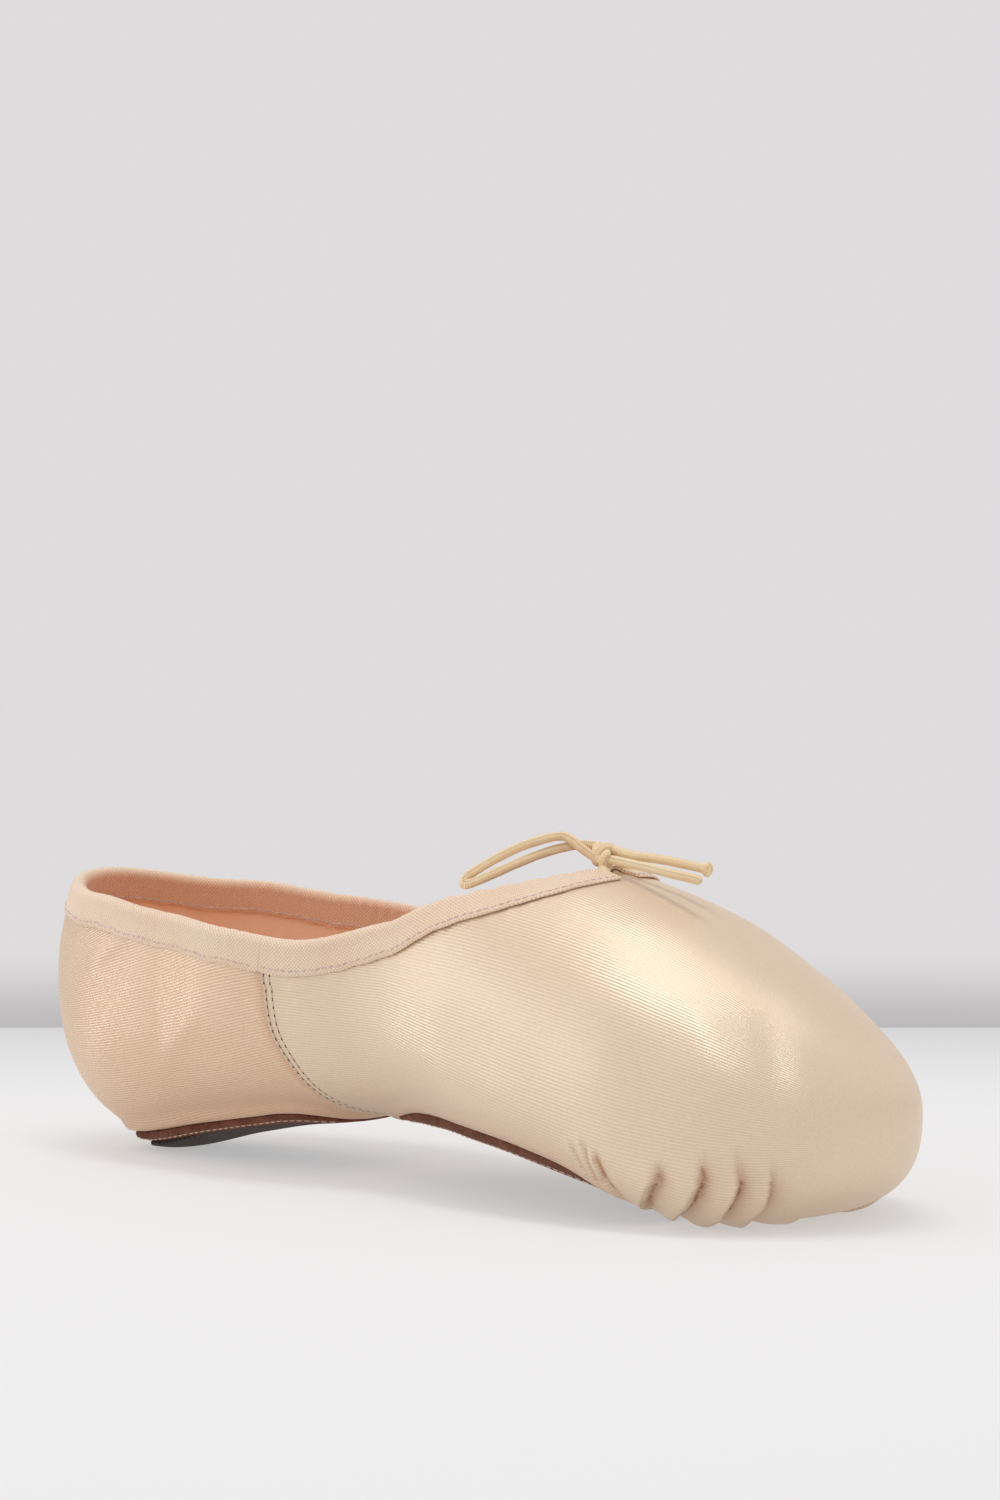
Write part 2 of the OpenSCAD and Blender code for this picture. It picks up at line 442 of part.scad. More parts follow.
vamp_satin();
vamp_lining();
toe_box();
insole_board();
forefoot_sock();
forefoot_outsole();
forefoot_outsole_stitching();
side_seam_stitching();
binding_right();
binding_left();
binding_stitching_front();
drawstring();
bow_knot();
bow_loop();
bow_tail_upper();
bow_tail_lower();
heel_satin();
heel_lining();
heel_cushion();
heel_sock();
heel_outsole();
heel_outsole_stitching();
heel_tread();
binding_heel();
binding_stitching_heel();
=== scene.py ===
"""Looks for the split-sole satin ballet shoe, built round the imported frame.

Everything is in metres in the frame's axes. The helper functions below work in
millimetres along the shoe's own length and repeat the shapes of the CAD source.
"""

import math

import bmesh
import bpy
import numpy as np
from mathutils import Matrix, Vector
from mathutils.kdtree import KDTree


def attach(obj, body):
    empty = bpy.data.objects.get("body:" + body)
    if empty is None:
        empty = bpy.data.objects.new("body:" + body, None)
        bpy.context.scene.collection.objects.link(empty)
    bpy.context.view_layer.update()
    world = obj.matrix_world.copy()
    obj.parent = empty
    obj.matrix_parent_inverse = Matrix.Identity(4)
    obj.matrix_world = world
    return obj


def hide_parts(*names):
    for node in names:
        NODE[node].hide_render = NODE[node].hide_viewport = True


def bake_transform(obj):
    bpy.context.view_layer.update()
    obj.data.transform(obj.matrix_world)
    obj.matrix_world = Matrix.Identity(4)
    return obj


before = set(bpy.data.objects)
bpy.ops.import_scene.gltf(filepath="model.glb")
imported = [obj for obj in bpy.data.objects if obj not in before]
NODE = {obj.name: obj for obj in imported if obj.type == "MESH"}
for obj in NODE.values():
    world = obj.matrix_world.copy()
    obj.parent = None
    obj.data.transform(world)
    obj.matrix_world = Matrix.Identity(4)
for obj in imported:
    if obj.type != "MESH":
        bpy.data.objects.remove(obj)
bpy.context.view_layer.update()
PI = math.pi
rng = np.random.default_rng(7)

# ------------------------------------------------------------------ shape
XB, XH, X1, XTH, XN, XT, XO = -115.0, -62.0, 4.0, 43.5, 84.0, 119.0, -2.0
N_UP, N_NOSE, N_HEEL, N_THROAT, Z_TIP = 2.1, 2.4, 2.04, 2.4, 22.4
N_LOW = (2.37, 2.74)
SATIN_T, LINING_T, BOX_T, GAP = 0.8, 0.7, 2.0, 0.1
STACK = SATIN_T + GAP
EDGE_IN = STACK + LINING_T
WIDTH = [[-80, 31], [-62, 31.6], [-42, 34.8], [-22, 32], [0, 29], [25, 35.9],
         [50, 39.2], [75, 39.4], [100, 31.7], [119, 21.9]]
LIFT = [[-115, 2.2], [-95, -0.3], [-62, 6.9], [-35, 11.9], [-10, 13.4], [10, 13],
        [30, 10.3], [55, 5.2], [68, 2.5], [80, 0.4], [92, -0.2], [119, 0.3]]
MID = [[-115, 37.4], [-62, 32.4], [-20, 29.6], [30, 23.4], [60, 21.6], [90, 18.8],
       [119, 23.1]]
CROWN = [[-115, 87.8], [-62, 85], [-30, 80.6], [0, 69.3], [20, 63.2], [35, 62.2],
         [50, 62.2], [75, 58.3], [95, 48.8], [119, 37.9]]
TOP = [[-115, 59.2], [-98, 56.6], [-76, 50.8], [-60, 47.4], [-40, 41.6], [-20, 37.9],
       [4, 43.2]]
SEAM = [[0, -10], [0.1, -15], [0.17, -19], [0.26, -22.4], [0.35, -24.9],
        [0.42, -27.2], [0.5, -28.4], [0.77, -29], [1, -29]]
FORE_HALF = [[-9.5, 7.5], [-7.5, 11.5], [-4, 14.5], [1, 17.5], [8, 20.5], [18, 25],
             [35, 30.5], [47, 33], [60, 33.8], [68, 31.8], [73, 26], [75.5, 19.5]]
HEEL_HALF = [[-92, 6], [-88.5, 10.5], [-81, 14], [-70, 16], [-58, 16.6], [-45, 17.3],
             [-36, 17.5], [-30, 15.5], [-26, 11.5], [-24.5, 8]]
TREAD_HALF = [[-88, 5], [-85, 8.8], [-78, 11.4], [-68, 12.8], [-55, 13.2], [-42, 12.8],
              [-34, 10.5], [-31.5, 7.5]]
FORE_IN = [[-6, 11], [-3, 14.5], [15, 20], [33, 24.5], [50, 27.5], [70, 27.5], [86, 23],
           [94, 16.5], [97, 11]]
HEEL_IN = [[-92, 8], [-89, 12], [-80, 16.5], [-68, 19], [-52, 20.5], [-36, 19.5],
           [-22, 15], [-18, 11.5]]


def tab(t, x):
    """Smooth curve through a table."""
    t = np.asarray(t, float)
    X, V, n = t[:, 0], t[:, 1], len(t)
    x = np.clip(x, X[0], X[-1])
    h = np.diff(X)
    d = np.diff(V) / h
    m = np.empty(n)
    m[0], m[-1] = d[0], d[-1]
    m[1:-1] = (d[:-1] * h[1:] + d[1:] * h[:-1]) / (h[1:] + h[:-1])
    k = np.clip(np.searchsorted(X, x, side="right") - 1, 0, n - 2)
    s = (x - X[k]) / h[k]
    return ((2 * s**3 - 3 * s**2 + 1) * V[k] + (s**3 - 2 * s**2 + s) * h[k] * m[k]
            + (3 * s**2 - 2 * s**3) * V[k + 1] + (s**3 - s**2) * h[k] * m[k + 1])


def step01(a, b, x):
    t = np.clip((x - a) / (b - a), 0, 1)
    return t * t * (3 - 2 * t)


def unit(v):
    return v / np.maximum(np.linalg.norm(v, axis=-1, keepdims=True), 1e-12)


def cut(x, d):
    m = tab(MID, x)
    return np.arcsin(np.clip((tab(TOP, x) - m) / (tab(CROWN, x) - d - m), 0, 1) ** (N_UP / 2))


def top_angle(x, d):
    rim1 = (tab(WIDTH, X1) - d) * np.cos(cut(X1, d)) ** (2 / N_UP)
    q = np.clip((x - X1) / (XTH - X1), 0, 1)
    th = rim1 * np.sqrt(np.clip(1 - q**N_THROAT, 0, 1))
    b = np.arccos(np.clip(th / (tab(WIDTH, x) - d), 0, 1) ** (N_UP / 2))
    return np.where(x <= X1, cut(x, d), np.where(x >= XTH, PI / 2, b))


def shape(x, v, d=0.0, k=1.0):
    """A point of the upper: length x, height parameter v, inset d, nose shrink k."""
    x, v, d, k = np.broadcast_arrays(*[np.asarray(q, float) for q in (x, v, d, k)])
    a = np.abs(v)
    lf = tab(LIFT, x)
    m = lf + tab(MID, x)
    zb = Z_TIP + (lf + d - Z_TIP) * k
    zm = Z_TIP + (m - Z_TIP) * k
    zt = Z_TIP + (lf + tab(CROWN, x) - d - Z_TIP) * k
    w = (tab(WIDTH, x) - d) * k
    f = np.clip((x - XH) / (XN - XH), 0, 1)
    nl = N_LOW[0] + (N_LOW[1] - N_LOW[0]) * f
    th = PI / 2 * np.minimum(1, a * 2)
    ph = np.maximum(0, a * 2 - 1) * top_angle(x, d)
    low = a <= 0.5
    y = np.where(low, w * np.sin(th) ** (2 / nl), w * np.clip(np.cos(ph), 0, 1) ** (2 / N_UP))
    z = np.where(low, zm - (zm - zb) * np.clip(np.cos(th), 0, 1) ** (2 / nl),
                 zm + (zt - zm) * np.sin(ph) ** (2 / N_UP))
    return np.stack([x + XO, np.sign(v) * y, np.maximum(z, np.maximum(0, d))], -1)


def fan(al, v, d=0.0):
    """The same round the heel, al = 90 degrees at its start and 180 at the back."""
    al, v, d = np.broadcast_arrays(*[np.asarray(q, float) for q in (al, v, d)])
    al = np.radians(al)
    a, c, s = np.abs(v), np.abs(np.cos(al)), np.clip(np.sin(al), 0, 1)
    ra, rw = XH - XB - d, tab(WIDTH, XH) - d
    r0 = 1 / ((c / ra) ** N_HEEL + (s / rw) ** N_HEEL) ** (1 / N_HEEL)
    xx = XB + (XH - XB) * (1 - c)
    m = tab(MID, xx)
    th = PI / 2 * np.minimum(1, a * 2)
    ph = np.maximum(0, a * 2 - 1) * cut(xx, d)
    low = a <= 0.5
    r = np.where(low, r0 * np.sin(th) ** (2 / N_LOW[0]), r0 * np.cos(ph) ** (2 / N_UP))
    z = np.where(low, m - (m - d) * np.clip(np.cos(th), 0, 1) ** (2 / N_LOW[0]),
                 m + (tab(CROWN, xx) - d - m) * np.sin(ph) ** (2 / N_UP))
    px = XH + r * np.cos(al)
    return np.stack([px + XO, np.sign(v) * r * s, z + tab(LIFT, px)], -1)


def nose(t, v, d=0.0):
    """The nose, t = 0 at its start and 90 degrees at the tip."""
    t, v, d = np.broadcast_arrays(*[np.asarray(q, float) for q in (np.radians(t), v, d)])
    x = XN + (XT - d - XN) * np.clip(np.sin(t), 0, 1) ** (2 / N_NOSE)
    return shape(x, v, d, np.clip(np.cos(t), 0, 1) ** (2 / N_NOSE))


def seam_x(v):
    return tab(SEAM, np.abs(v)) + 0.15


def lin(x):
    """Inset of the lining's outer face, which steps in behind the toe box."""
    return STACK + (BOX_T + GAP) * np.sin(PI / 2 * np.clip((x - 48) / 7, 0, 1)) ** 2


def level(p):
    """1 on the upper half of the satin, more outside it."""
    x = p[..., 0] - XO
    y, z = np.abs(p[..., 1]), p[..., 2]
    r = np.maximum(1e-3, np.hypot(x - XH, y))
    c, s = np.clip((XH - x) / r, 0, 1), y / r
    body = x >= XH
    xx = np.where(body, x, XB + (XH - XB) * (1 - c))
    ro = 1 / ((c / (XH - XB)) ** N_HEEL + (s / tab(WIDTH, XH)) ** N_HEEL) ** (1 / N_HEEL)
    u = np.where(body, y / tab(WIDTH, x), r / ro)
    m = tab(MID, xx)
    return u**N_UP + np.maximum(0, (z - tab(LIFT, x) - m) / (tab(CROWN, xx) - m)) ** N_UP


def outward(p):
    g = np.stack([level(p + e) - level(p - e) for e in np.eye(3) * 0.2], -1)
    return unit(g)


def base(x, y, d):
    """A point of the underside below length x, at offset y, inset d."""
    x, y, d = np.broadcast_arrays(*[np.asarray(q, float) for q in (x, y, d)])

    def under(m, u, nl):
        return m - (m - d) * (1 - np.clip(u, 0, 0.97) ** nl) ** (1 / nl)

    f = np.clip((x - XH) / (XN - XH), 0, 1)
    nl = N_LOW[0] + (N_LOW[1] - N_LOW[0]) * f
    za = under(tab(MID, x), np.abs(y) / (tab(WIDTH, x) - d), nl)
    r = np.maximum(1e-6, np.hypot(x - XH, y))
    c, s = np.clip((XH - x) / r, 0, 1), np.abs(y) / r
    r0 = 1 / ((c / (XH - XB - d)) ** N_HEEL + (s / (tab(WIDTH, XH) - d)) ** N_HEEL) ** (1 / N_HEEL)
    zb = under(tab(MID, XB + (XH - XB) * (1 - c)), r / r0, N_LOW[0])
    return np.stack([x + XO, y, tab(LIFT, x) + np.where(x >= XH, za, zb)], -1)


# ------------------------------------------------------------------ mesh tools
def mesh_object(name, verts, faces, smooth=True, sharp=None, uv=None):
    """A closed mesh from points in millimetres, with its unused points dropped."""
    verts = np.asarray(verts, float)
    used = np.zeros(len(verts), bool)
    for f in faces:
        for i in f:
            used[i] = True
    new = np.cumsum(used) - 1
    verts = verts[used]
    faces = [tuple(int(new[i]) for i in f) for f in faces]
    me = bpy.data.meshes.new(name)
    me.from_pydata((verts * 0.001).tolist(), [], faces)
    me.update()
    if uv is not None:
        uv = np.asarray(uv, float)[used]
        layer = me.uv_layers.new(name="UVMap")
        loops = np.empty(len(me.loops), np.int32)
        me.loops.foreach_get("vertex_index", loops)
        layer.data.foreach_set("uv", uv[loops].astype(np.float32).ravel())
    bm = bmesh.new()
    bm.from_mesh(me)
    bmesh.ops.recalc_face_normals(bm, faces=bm.faces)
    bm.to_mesh(me)
    bm.free()
    ob = bpy.data.objects.new(name, me)
    bpy.context.scene.collection.objects.link(ob)
    if smooth:
        me.shade_smooth()
        if sharp:
            me.set_sharp_from_angle(angle=math.radians(sharp))
    return ob


def cells(idx, flip=False):
    """Faces of a grid of point numbers, with triangles where two corners are one."""
    out = []
    for a, b in zip(idx[:-1], idx[1:]):
        for p, q, r, s in zip(a[:-1], b[:-1], b[1:], a[1:]):
            f = []
            for i in (p, q, r, s):
                if i not in f:
                    f.append(i)
            if len(f) > 2:
                out.append(f[::-1] if flip else f)
    return out


def shade_by(ob, points, painted_shade):
    """Record the painted shade on the cloth (creases, seam dips, low sides, inner faces), for its material."""
    flat = points.reshape(-1, 3)
    tree = KDTree(len(flat))
    for i, q in enumerate(flat * 0.001):
        tree.insert(q, i)
    tree.balance()
    found = [(i, d) for _, i, d in (tree.find(v.co) for v in ob.data.vertices)]
    near = np.array([i for i, _ in found])
    ok = np.array([d < 0.0001 for _, d in found])
    layer = ob.data.attributes.new("painted_shade", "FLOAT", "POINT")
    layer.data.foreach_set("value", np.where(ok, painted_shade.ravel()[near], 0.0).astype(np.float32))


def strip_faces(path, other):
    return [f for p, q, r, s in zip(path[:-1], path[1:], other[1:], other[:-1])
            for f in [[p, q, r, s]] if p != q]


def tube(points, radius, sides=16, start_cap=True, end_cap=True, up=(0, 0.3, 1), relief=None, uv_scale=1.0):
    """Rings along points. radius is a number or one per ring. Returns verts, faces, uv."""
    p = np.asarray(points, float)
    n = len(p)
    t = unit(np.gradient(p, axis=0))
    u = np.empty_like(p)
    a = np.asarray(up, float)
    for i in range(n):
        a = a - t[i] * (a @ t[i])
        a = a / np.linalg.norm(a)
        u[i] = a
    w = np.cross(t, u)
    ang = np.arange(sides) / sides * 2 * PI
    rad = np.broadcast_to(np.asarray(radius, float), (n,))[:, None] * np.ones(sides)
    s = np.r_[0, np.cumsum(np.linalg.norm(np.diff(p, axis=0), axis=1))]
    if relief is not None:
        rad = rad + relief(s[:, None], ang[None, :])
    v = p[:, None] + rad[..., None] * (np.cos(ang)[None, :, None] * u[:, None] + np.sin(ang)[None, :, None] * w[:, None])
    verts = v.reshape(-1, 3)
    faces = []
    for i in range(n - 1):
        for j in range(sides):
            k = (j + 1) % sides
            faces.append((i * sides + j, i * sides + k, (i + 1) * sides + k, (i + 1) * sides + j))
    if start_cap:
        faces.append(tuple(range(sides))[::-1])
    if end_cap:
        faces.append(tuple((n - 1) * sides + j for j in range(sides)))
    uv = np.stack(np.broadcast_arrays(s[:, None] * uv_scale, (ang / (2 * PI))[None, :]), -1).reshape(-1, 2)
    return verts, faces, uv


def join(parts):
    """One set of verts, faces and uvs from several."""
    V, Fc, U, off = [], [], [], 0
    for part in parts:
        v, f = part[0], part[1]
        V.append(v)
        Fc += [tuple(i + off for i in g) for g in f]
        U.append(part[2] if len(part) > 2 else np.zeros((len(v), 2)))
        off += len(v)
    return np.concatenate(V), Fc, np.concatenate(U)


def resample(points, pitch, extra=()):
    """Points and other rows at an even spacing along a dense line."""
    p = np.asarray(points, float)
    s = np.r_[0, np.cumsum(np.linalg.norm(np.diff(p, axis=0), axis=1))]
    n = max(2, int(round(s[-1] / pitch)) + 1)
    g = np.linspace(0, s[-1], n)
    def at(q):
        q = np.asarray(q, float)
        return np.stack([np.interp(g, s, q[:, k]) for k in range(q.shape[1])], -1)
    return at(p), [at(q) for q in extra], g


def smooth_path(p, n):
    """Catmull-Rom curve through points."""
    p = np.asarray(p, float)
    out = []
    for i in range(len(p) - 1):
        a, b, c, e = p[max(0, i - 1)], p[i], p[i + 1], p[min(len(p) - 1, i + 2)]
        for k in range(n):
            s = k / n
            out.append(0.5 * (2 * b + (c - a) * s + (2 * a - 5 * b + 4 * c - e) * s * s
                              + (3 * b - a - 3 * c + e) * s**3))
    out.append(p[-1])
    return np.array(out)


def wobble(s, seed, scale):
    """A smooth irregular wave from -1 to 1 along s, made of a few sines."""
    r = np.random.default_rng(seed)
    out = 0
    for k in range(4):
        out = out + np.sin(s / scale * 2 * PI * (0.6 + 0.35 * k + 0.2 * r.random()) + r.random() * 6.28) / 2.2
    return np.clip(out, -1.4, 1.4)


def swell(p, seed, scale):
    """A slow irregular field over space, about -1 to 1."""
    r = np.random.default_rng(seed)
    out = 0
    for _ in range(5):
        k = unit(r.normal(size=3)) * 2 * PI / (scale * (0.7 + 0.8 * r.random()))
        out = out + np.sin(p @ k + r.random() * 6.28) / 2.4
    return out


def to_line(p, line):
    """For each point: distance to a polyline, the share along it, and the offset from it."""
    line = np.asarray(line, float)
    seg = np.diff(line, axis=0)
    ln = np.linalg.norm(seg, axis=1)
    acc = np.r_[0, np.cumsum(ln)]
    best = np.full(p.shape[:-1], 1e9)
    share = np.zeros(p.shape[:-1])
    off = np.zeros(p.shape)
    tan = np.zeros(p.shape)
    for i in range(len(seg)):
        d = p - line[i]
        t = np.clip((d @ seg[i]) / ln[i] ** 2, 0, 1)
        o = d - t[..., None] * seg[i]
        dist = np.linalg.norm(o, axis=-1)
        m = dist < best
        best = np.where(m, dist, best)
        share = np.where(m, (acc[i] + t * ln[i]) / acc[-1], share)
        off = np.where(m[..., None], o, off)
        tan = np.where(m[..., None], seg[i] / ln[i], tan)
    return best, share, off, tan


def outline(half, a, b, corner, n=160):
    """Half width of a sole piece with its ends rounded."""
    x = a + (b - a) * (0.5 - 0.5 * np.cos(PI * np.linspace(0, 1, n)))
    h = tab(half, x)
    for inside in (x - a, b - x):
        e = np.clip(inside, 0, corner)
        h = h - (corner - np.sqrt(np.clip(corner**2 - (corner - e) ** 2, 0, None)))
    return x, np.maximum(h, 0.6)


def beyond(P, half, a, b, corner):
    """Distance in plan outside a sole piece's edge, negative inside it."""
    x, h = outline(half, a, b, corner)
    line = np.stack([x + XO, h, 0 * x], -1)
    line = np.concatenate([[[a + XO, 0, 0]], line, [[b + XO, 0, 0]]])
    q = np.stack([P[..., 0], np.abs(P[..., 1]), 0 * P[..., 0]], -1)
    d = to_line(q, line)[0]
    xm = P[..., 0] - XO
    inside = (np.abs(P[..., 1]) < np.interp(xm, x, h, left=-1, right=-1))
    return np.where(inside, -d, d)


# ------------------------------------------------------------------ camera
scene = bpy.context.scene
cam_data = bpy.data.cameras.new("camera")
camera = bpy.data.objects.new("camera", cam_data)
scene.collection.objects.link(camera)
cam_data.sensor_width = 36
cam_data.lens = 121.8
cam_data.clip_start = 0.05
camera.location = (0.71655, -0.85361, 0.15909)
az, el = math.radians(39.624), math.radians(3.300)
look = Vector((-math.sin(az) * math.cos(el), math.cos(az) * math.cos(el), -math.sin(el)))
camera.rotation_mode = "QUATERNION"
camera.rotation_quaternion = look.to_track_quat("-Z", "Y")
scene.camera = camera


# ------------------------------------------------------------------ materials
class Mat:
    """A small helper for node materials."""

    def __init__(self, name):
        self.m = bpy.data.materials.new(name)
        self.m.use_nodes = True
        self.t = self.m.node_tree
        self.b = self.t.nodes["Principled BSDF"]

    def node(self, kind, **kw):
        n = self.t.nodes.new(kind)
        for k, v in kw.items():
            setattr(n, k, v)
        return n

    def put(self, sock, v):
        if isinstance(v, bpy.types.NodeSocket):
            self.t.links.new(v, sock)
        else:
            sock.default_value = v

    def set(self, **kw):
        for k, v in kw.items():
            self.put(self.b.inputs[k.replace("_", " ")], v)
        return self

    def obj(self):
        return self.node("ShaderNodeTexCoord").outputs["Object"]

    def uv(self):
        return self.node("ShaderNodeUVMap", uv_map="UVMap").outputs["UV"]

    def math(self, op, a, b=0.0, c=0.0, clamp=False):
        n = self.node("ShaderNodeMath", operation=op, use_clamp=clamp)
        self.put(n.inputs[0], a)
        self.put(n.inputs[1], b)
        self.put(n.inputs[2], c)
        return n.outputs[0]

    def dot(self, vec, k):
        n = self.node("ShaderNodeVectorMath", operation="DOT_PRODUCT")
        self.put(n.inputs[0], vec)
        n.inputs[1].default_value = k
        return n.outputs["Value"]

    def noise(self, vec, scale, detail=2.0, rough=0.5, distort=0.0, stretch=None):
        if stretch:
            mp = self.node("ShaderNodeMapping")
            self.put(mp.inputs["Vector"], vec)
            mp.inputs["Scale"].default_value = stretch
            vec = mp.outputs[0]
        n = self.node("ShaderNodeTexNoise")
        self.put(n.inputs["Vector"], vec)
        n.inputs["Scale"].default_value = scale
        n.inputs["Detail"].default_value = detail
        n.inputs["Roughness"].default_value = rough
        n.inputs["Distortion"].default_value = distort
        return n.outputs["Fac"]

    def lines(self, vec, direction, period, bend=None, amount=0.0):
        """Rounded ribs: a sine across direction, in metres."""
        d = np.asarray(direction, float)
        d = d / np.linalg.norm(d) * 2 * PI / period
        x = self.dot(vec, tuple(d))
        if bend is not None:
            x = self.math("MULTIPLY_ADD", bend, amount, x)
        return self.math("MULTIPLY_ADD", self.math("SINE", x), 0.5, 0.5)

    def mix(self, fac, a, b, kind="MIX"):
        n = self.node("ShaderNodeMix", data_type="RGBA", blend_type=kind)
        self.put(n.inputs["Factor"], fac)
        self.put(n.inputs["A"], a)
        self.put(n.inputs["B"], b)
        return n.outputs["Result"]

    def ramp(self, fac, lo, hi, a=0.0, b=1.0):
        n = self.node("ShaderNodeMapRange", clamp=True)
        self.put(n.inputs["Value"], fac)
        n.inputs["From Min"].default_value = lo
        n.inputs["From Max"].default_value = hi
        n.inputs["To Min"].default_value = a
        n.inputs["To Max"].default_value = b
        return n.outputs["Result"]

    def bump(self, height, distance, strength=1.0, normal=None):
        n = self.node("ShaderNodeBump")
        self.put(n.inputs["Height"], height)
        n.inputs["Distance"].default_value = distance
        n.inputs["Strength"].default_value = strength
        if normal is not None:
            self.put(n.inputs["Normal"], normal)
        return n.outputs["Normal"]


def rgb(r, g, b):
    """Linear colour of an 8-bit sRGB colour."""
    def f(c):
        c = c / 255
        return c / 12.92 if c <= 0.04045 else ((c + 0.055) / 1.055) ** 2.4
    return (f(r), f(g), f(b), 1.0)


def satin_material(name, base, deep, pale, painted_shade_color, rough, period, slope, rib, grain, spec):
    m = Mat(name)
    o = m.obj()
    slow = m.noise(o, 22, 2)
    mid = m.noise(o, 140, 3, 0.6)
    fine = m.noise(o, 1500, 2, 0.6)
    warp = m.noise(o, 160, 2)
    # the weave runs along the shoe: fine lines around its section, from the sole to the top
    xyz = m.node("ShaderNodeSeparateXYZ")
    m.put(xyz.inputs[0], o)
    heart = m.math("MULTIPLY_ADD", m.math("MAXIMUM", xyz.outputs["X"], 0.0), 0.14, -0.036)
    turn = m.math("ARCTAN2", m.math("ADD", xyz.outputs["Z"], heart), m.math("ABSOLUTE", xyz.outputs["Y"]))
    weave = m.math("MULTIPLY_ADD", xyz.outputs["X"], slope, m.math("MULTIPLY", turn, 0.035))
    ribs = m.math("MULTIPLY_ADD", warp, 1.3, m.math("MULTIPLY", weave, 2 * PI / period))
    ribs = m.math("MULTIPLY_ADD", m.math("SINE", ribs), 0.5, 0.5)
    # where the lines run together on the toe's tip they fade out
    lift_z = m.math("ADD", xyz.outputs["Z"], heart)
    reach = m.math("ADD", m.math("MULTIPLY", lift_z, lift_z), m.math("MULTIPLY", xyz.outputs["Y"], xyz.outputs["Y"]))
    keep = m.ramp(reach, 0.00008, 0.00045, 0.0, 1.0)
    ribs = m.math("MULTIPLY_ADD", m.math("SUBTRACT", ribs, 0.62), keep, 0.62)
    floats = m.noise(o, 1.0, 1, 0.5, stretch=(420, 420, 1500))
    painted_shade_fac = m.node("ShaderNodeAttribute", attribute_name="painted_shade").outputs["Fac"]
    col = m.mix(m.ramp(slow, 0.35, 0.65), base, pale)
    col = m.mix(m.math("MULTIPLY", m.ramp(fine, 0.3, 0.7), 0.16 * grain), col, deep)
    col = m.mix(m.math("MULTIPLY", m.math("SUBTRACT", 1.0, ribs), 0.30 * grain), col, deep)
    # painted shade: a deeper, warmer colour where the vertex attribute marks creases, the seam dip and the low sides
    # near the sole
    col = m.mix(m.math("MULTIPLY", painted_shade_fac, 0.8), col, painted_shade_color)
    h = m.math("ADD", m.math("MULTIPLY", ribs, rib), m.math("MULTIPLY", floats, 0.5))
    h = m.math("ADD", h, m.math("MULTIPLY", fine, 0.15))
    nrm = m.bump(h, 0.00006, 0.85, m.bump(m.math("ADD", slow, m.math("MULTIPLY", mid, 0.12)), 0.0011, 0.5))
    shine = m.math("MULTIPLY_ADD", ribs, 0.45 * grain, spec)
    m.set(Base_Color=col, Roughness=m.ramp(fine, 0.2, 0.8, rough - 0.05, rough + 0.06), Normal=nrm)
    m.set(Metallic=0.22, IOR=1.9, Specular_IOR_Level=shine, Specular_Tint=(1.0, 0.98, 0.96, 1))
    m.set(Sheen_Weight=0.08, Sheen_Roughness=0.4, Sheen_Tint=(1.0, 0.93, 0.86, 1))
    return m.m


# the fifth colour of each is the painted shade colour for creases, the seam dip and the low sides
SATIN = satin_material("satin", rgb(234, 210, 179), rgb(188, 154, 116), rgb(238, 216, 187), rgb(172, 112, 72), 0.35,
                       0.00070, 0.04, 0.9, 0.9, 0.62)
STRETCH = satin_material("stretch_satin", rgb(234, 200, 162), rgb(182, 132, 90), rgb(239, 209, 174), rgb(190, 122, 76), 0.35,
                         0.00070, -0.25, 1.3, 1.3, 0.55)


def cloth_material(name, base, deep, pale, pitch, rough=0.85, relief=1.0, gap_darkening=0.35):
    """A plain or twill cloth: ribs in two directions of the piece's own uv, in metres."""
    m = Mat(name)
    uv = m.uv()
    o = m.obj()
    warp = m.noise(o, 260, 2)
    a = m.lines(uv, (1, 1, 0), pitch, warp, 1.2)
    b = m.lines(uv, (1, -0.9, 0), pitch, warp, 1.2)
    knots = m.math("MULTIPLY", a, b)
    slow = m.noise(o, 60, 2)
    fuzz = m.noise(o, 2600, 2, 0.7)
    col = m.mix(m.ramp(slow, 0.3, 0.7), base, pale)
    # darker between the thread crossings: the weave's own look and painted shade in its gaps
    col = m.mix(m.math("MULTIPLY", m.ramp(knots, 0.0, 0.55, 1.0, 0.0), gap_darkening), col, deep)
    painted_shade_fac = m.node("ShaderNodeAttribute", attribute_name="painted_shade").outputs["Fac"]
    # painted shade: faces that turn into the shoe are drawn a deeper orange
    col = m.mix(m.math("MULTIPLY", painted_shade_fac, 0.5), col, rgb(212, 136, 88))
    h = m.math("ADD", knots, m.math("MULTIPLY", fuzz, 0.25))
    m.set(Base_Color=col, Roughness=rough, Normal=m.bump(h, 0.00012 * relief, 0.8), Sheen_Weight=0.35,
          Sheen_Roughness=0.5, Sheen_Tint=(1, 0.95, 0.9, 1), Specular_IOR_Level=0.25)
    return m.m


TAPE = cloth_material("tape", rgb(246, 229, 204), rgb(214, 162, 120), rgb(250, 238, 220), 0.00062, 0.8, 1.2, 0.6)


def lining_material():
    m = Mat("lining")
    o = m.obj()
    a = m.noise(o, 1300, 2, 0.55)
    fuzz = m.noise(o, 2400, 2, 0.7)
    slow = m.noise(o, 40, 3)
    col = m.mix(m.ramp(slow, 0.3, 0.7), rgb(250, 206, 172), rgb(252, 218, 190))
    col = m.mix(m.math("MULTIPLY", m.math("SUBTRACT", 1.0, a), 0.3), col, rgb(214, 148, 110))
    h = m.math("ADD", a, m.math("MULTIPLY", fuzz, 0.4))
    m.set(Base_Color=col, Roughness=0.9, Normal=m.bump(h, 0.00009, 0.8), Sheen_Weight=0.3,
          Specular_IOR_Level=0.2)
    return m.m


LINING = lining_material()


